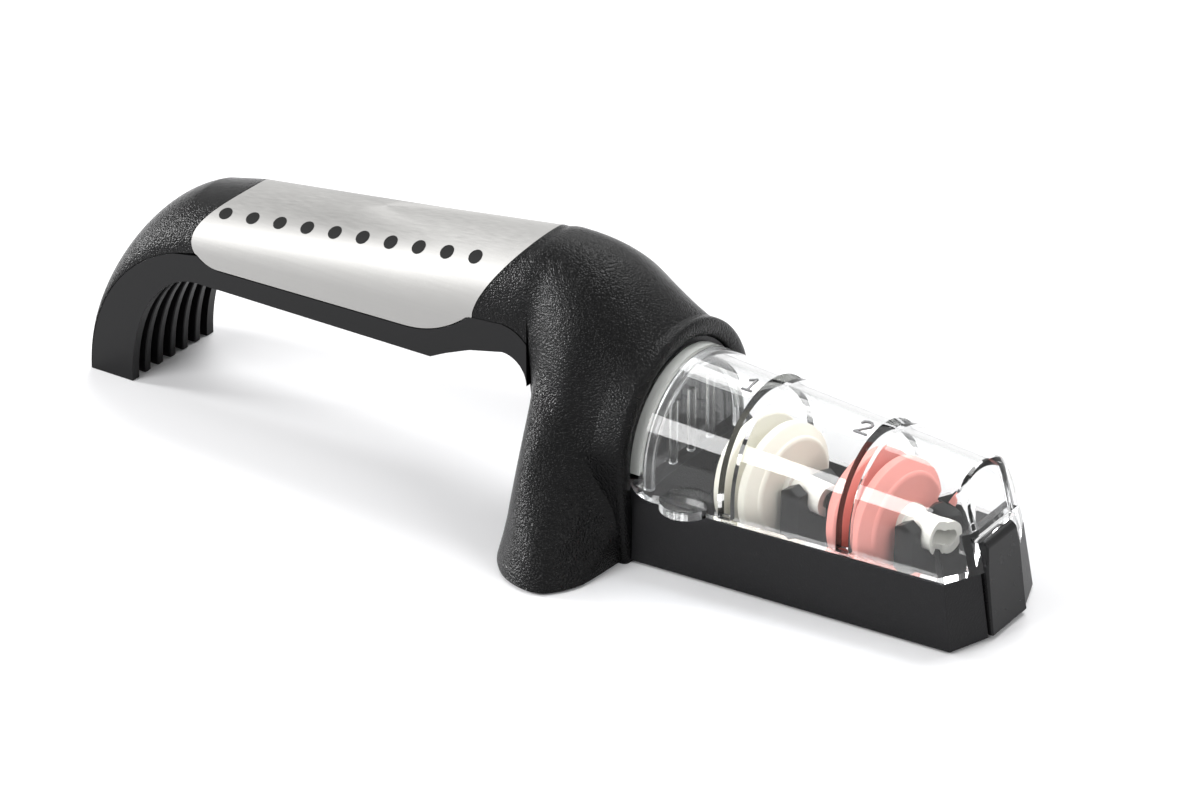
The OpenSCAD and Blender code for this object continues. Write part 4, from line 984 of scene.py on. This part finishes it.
cover_sheet = sheet_mesh("cover_sheet", outer_rows, inner_rows, keep_cover)
POCKET_HALF, POCKET_X, POCKET_T = FLAT_HALF + GAP, LATCH_X - STEP - GAP, 1.4
POCKET_BACK = 2.0
LIP_L, LIP_OUT, LIP_IN, LIP_T, LIP_N = 11.5, 4.3, 1.2, 2.0, 32
LIP_PLACE_SHARE = 1.25
lip_r = ((LIP_L / 2) ** 2 + LIP_OUT**2) / (2 * LIP_OUT)
lip_x = COVER_X + LIP_PLACE_SHARE * CHEEK_R + LIP_L / 2
lip_reach = math.asin(LIP_L / 2 / lip_r)
lip_side = COVER_R - (COVER_R - NOSE_R) * (lip_x - COVER_X) / COVER_L
pocket_end = NOSE_X - NOSE_LEAN - POCKET_BACK
cover_steps = [("UNION", box_mesh("pocket", POCKET_X - POCKET_T, pocket_end,
                                  -POCKET_HALF - POCKET_T, POCKET_HALF + POCKET_T,
                                  COVER_LOW, LATCH_H + GAP + POCKET_T))]
for side in (-1, 1):
    rim = []
    for i in range(LIP_N + 1):
        a = lerp(-lip_reach, lip_reach, i / LIP_N)
        rim.append((lip_x + lip_r * math.sin(a),
                    side * (lip_side + LIP_OUT - lip_r + lip_r * math.cos(a))))
    rim += [(lip_x + k * LIP_L / 2, side * (lip_side - LIP_IN)) for k in (1, -1)]
    cover_steps.append(("UNION", frustum_mesh("lip", rim, rim, COVER_LOW, COVER_LOW + LIP_T)))
cover_steps.append(("DIFFERENCE", box_mesh("pocket_room", POCKET_X, CUT_END_X, -POCKET_HALF,
                                           POCKET_HALF, 0, LATCH_H + GAP)))
cover = add_object("cover_glass", combined("cover_glass", cover_sheet, cover_steps, 40), "cover",
                   CLEAR)
bevel(cover, COVER_ROUND, segments=2, angle_deg=COVER_ROUND_ANGLE)
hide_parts("clear_cover")

# A moulded frame with ribs stands on the cover's rear wall
FROST = clear("frosted_rim", (0.90, 0.91, 0.91), 0.22, 1.45)
FRAME_X, FRAME_L, FRAME_IN, FRAME_W, FRAME_LIFT = COVER_X + COVER_T, 2.2, 2.6, 1.8, 1.4
EDGE_IN, EDGE_W, EDGE_LAP = 0.35, 1.65, 0.2
RIB_YS, RIB_HALF, RIB_L, RIB_LIFT, RIB_TOP = (-8.0, -1.0, 6.5), 0.9, 1.6, 3.0, 12.5
REAR_SLIT = 0.05


def arch_band(name, x0, x1, r_out, r_in, foot, steps=48):
    """A D-shaped band around the trough, seen along X."""
    def outline(r):
        arc = [math.pi * i / steps for i in range(steps + 1)]
        return ([(-r, foot)] + [(-r * math.cos(a), COVER_H + r * math.sin(a)) for a in arc]
                + [(r, foot)])

    outer, inner = outline(r_out), outline(r_in)
    n = len(outer)
    m = 2 * n
    verts = [(x, y, z) for x in (x0, x1) for y, z in outer + inner]
    faces = []
    for k in range(n - 1):
        a, b, c, d = k, k + 1, n + k + 1, n + k
        faces += [(a, b, c, d), (m + d, m + c, m + b, m + a), (a, m + a, m + b, b),
                  (d, c, m + c, m + d)]
    faces += [(0, n, m + n, m), (n - 1, m + n - 1, m + 2 * n - 1, 2 * n - 1)]
    return mesh_from(name, verts, faces, 40)


frame_band = add_object("cover_rear_frame", arch_band(
    "cover_rear_frame", FRAME_X + REAR_SLIT, FRAME_X + FRAME_L, COVER_R - FRAME_IN,
    COVER_R - FRAME_IN - FRAME_W, COVER_LOW + FRAME_LIFT), "cover", FROST)
bevel(frame_band, BAND_ROUND, segments=2)
# The opaque pale band inside the cover's rear edge is a painted highlight standing in for the
# bright edge of the clear plastic
add_object("cover_rear_edge", arch_band(
    "cover_rear_edge", COVER_X + GAP, FRAME_X + EDGE_LAP, COVER_R - EDGE_IN,
    COVER_R - EDGE_IN - EDGE_W, COVER_LOW + CHEEK_R), "cover", PAINTED_EDGE_HIGHLIGHT)
for i, y in enumerate(RIB_YS):
    rib = add_object(f"cover_rear_rib_{i + 1}", box_mesh(
        "rib", FRAME_X + REAR_SLIT, FRAME_X + RIB_L, y - RIB_HALF, y + RIB_HALF,
        COVER_LOW + RIB_LIFT, COVER_H + RIB_TOP), "cover", FROST)
    bevel(rib, RIB_ROUND, segments=2)

# Plain numerals moulded on the crown before each slot
MARK_BACK, MARK_TURN, MARK_SINK = 3.9, math.radians(80), 0.05
DIGITS = {
    "1": [[(-0.9, 1.1), (0.3, 2.0)], [(0.3, 2.0), (0.3, -2.0)], [(-0.7, -2.0), (1.2, -2.0)]],
    "2": [[(-1.2, 1.1), (-0.9, 1.7), (-0.2, 2.0), (0.6, 1.9), (1.1, 1.3), (1.1, 0.6),
           (0.5, -0.2), (-1.3, -2.0)], [(-1.3, -2.0), (1.4, -2.0)]]}


def digit_mesh(name, strokes, x, turn, width=0.5, rise=0.3):
    """Strokes laid on the cover; the digit's top points towards the far side."""
    share = (x - COVER_X) / COVER_L
    r, h = lerp(COVER_R, NOSE_R, share), lerp(COVER_H, NOSE_H, share)

    def on_crown(u, v, up):
        a = turn + v / r
        rr = lerp(COVER_R, NOSE_R, (x + u - COVER_X) / COVER_L) + up
        return (x + u, -rr * math.cos(a), h + rr * math.sin(a))

    verts, faces = [], []
    for stroke in strokes:
        for (u0, v0), (u1, v1) in zip(stroke, stroke[1:]):
            length = math.hypot(u1 - u0, v1 - v0)
            du, dv = (u1 - u0) / length * width / 2, (v1 - v0) / length * width / 2
            base = len(verts)
            for up in (-MARK_SINK, rise):
                for u, v in ((u0 - du - dv, v0 - dv + du), (u1 + du - dv, v1 + dv + du),
                             (u1 + du + dv, v1 + dv - du), (u0 - du + dv, v0 - dv - du)):
                    verts.append(on_crown(u, v, up))
            faces += [tuple(base + k for k in f) for f in (
                (0, 1, 2, 3), (7, 6, 5, 4), (0, 4, 5, 1), (1, 5, 6, 2), (2, 6, 7, 3),
                (3, 7, 4, 0))]
    return mesh_from(name, verts, faces)


for digit, slot_x in (("1", COARSE_X), ("2", FINE_X)):
    mark = digit_mesh(f"stage_mark_{digit}", DIGITS[digit], slot_x - MARK_BACK, MARK_TURN)
    add_object(f"stage_mark_{digit}", mark, "cover", MOULDED)

# Light and floor
ROOM_LIGHT, SEEN_LIGHT = 0.36, 1.0
FLOOR_HALF, FLOOR_DROP = 6.0, 0.0001
world = bpy.data.worlds.new("studio")
scene.world = world
world.use_nodes = True
wn, wl = world.node_tree.nodes, world.node_tree.links
background = wn["Background"]
background.inputs["Color"].default_value = (1, 1, 1, 1)
path = wn.new("ShaderNodeLightPath")
seen = wn.new("ShaderNodeMath")
seen.operation = "MAXIMUM"
wl.new(path.outputs["Is Camera Ray"], seen.inputs[0])
wl.new(path.outputs["Is Glossy Ray"], seen.inputs[1])
through = wn.new("ShaderNodeMath")
through.operation = "MAXIMUM"
wl.new(seen.outputs["Value"], through.inputs[0])
wl.new(path.outputs["Is Transmission Ray"], through.inputs[1])
power = wn.new("ShaderNodeMapRange")
power.inputs["To Min"].default_value = ROOM_LIGHT
power.inputs["To Max"].default_value = SEEN_LIGHT
wl.new(through.outputs["Value"], power.inputs["Value"])
wl.new(power.outputs["Result"], background.inputs["Strength"])

floor_mesh = bpy.data.meshes.new("floor")
floor_mesh.from_pydata([(-FLOOR_HALF, -FLOOR_HALF, 0), (FLOOR_HALF, -FLOOR_HALF, 0),
                        (FLOOR_HALF, FLOOR_HALF, 0), (-FLOOR_HALF, FLOOR_HALF, 0)], [],
                       [(0, 1, 2, 3)])
floor = bpy.data.objects.new("floor", floor_mesh)
floor.location.z = -FLOOR_DROP
scene.collection.objects.link(floor)
floor_mat, _, _, floor_bsdf = new_material("floor_white")
floor_bsdf.inputs["Base Color"].default_value = (0.93, 0.93, 0.94, 1)
floor_bsdf.inputs["Roughness"].default_value = 0.85
floor_bsdf.inputs["Specular IOR Level"].default_value = 0.1
floor_mesh.materials.append(floor_mat)


def soft_lamp(name, place, aim, size, watts):
    """A white rectangular lamp at a place, turned to a point; all lengths in metres."""
    data = bpy.data.lights.new(name, "AREA")
    data.shape = "RECTANGLE"
    data.size, data.size_y = size
    data.energy = watts
    obj = bpy.data.objects.new(name, data)
    obj.location = place
    obj.rotation_euler = (Vector(aim) - Vector(place)).to_track_quat("-Z", "Y").to_euler()
    scene.collection.objects.link(obj)


soft_lamp("key_box", (-0.1, 0.75, 1.15), (0, 0, 0.02), (0.9, 0.6), 14.5)
soft_lamp("near_box", (-1.15, -0.26, 0.24), (0.02, 0, 0.03), (0.26, 0.36), 15)
soft_lamp("nose_box", (1.1, -0.1, 0.75), (0.05, 0, 0.02), (0.5, 0.4), 4)
soft_lamp("side_box", (-0.32, -0.66, 0.50), (0.06, 0, 0.03), (0.45, 0.30), 4.2)

scene.view_settings.view_transform = "Standard"
scene.view_settings.look = "None"
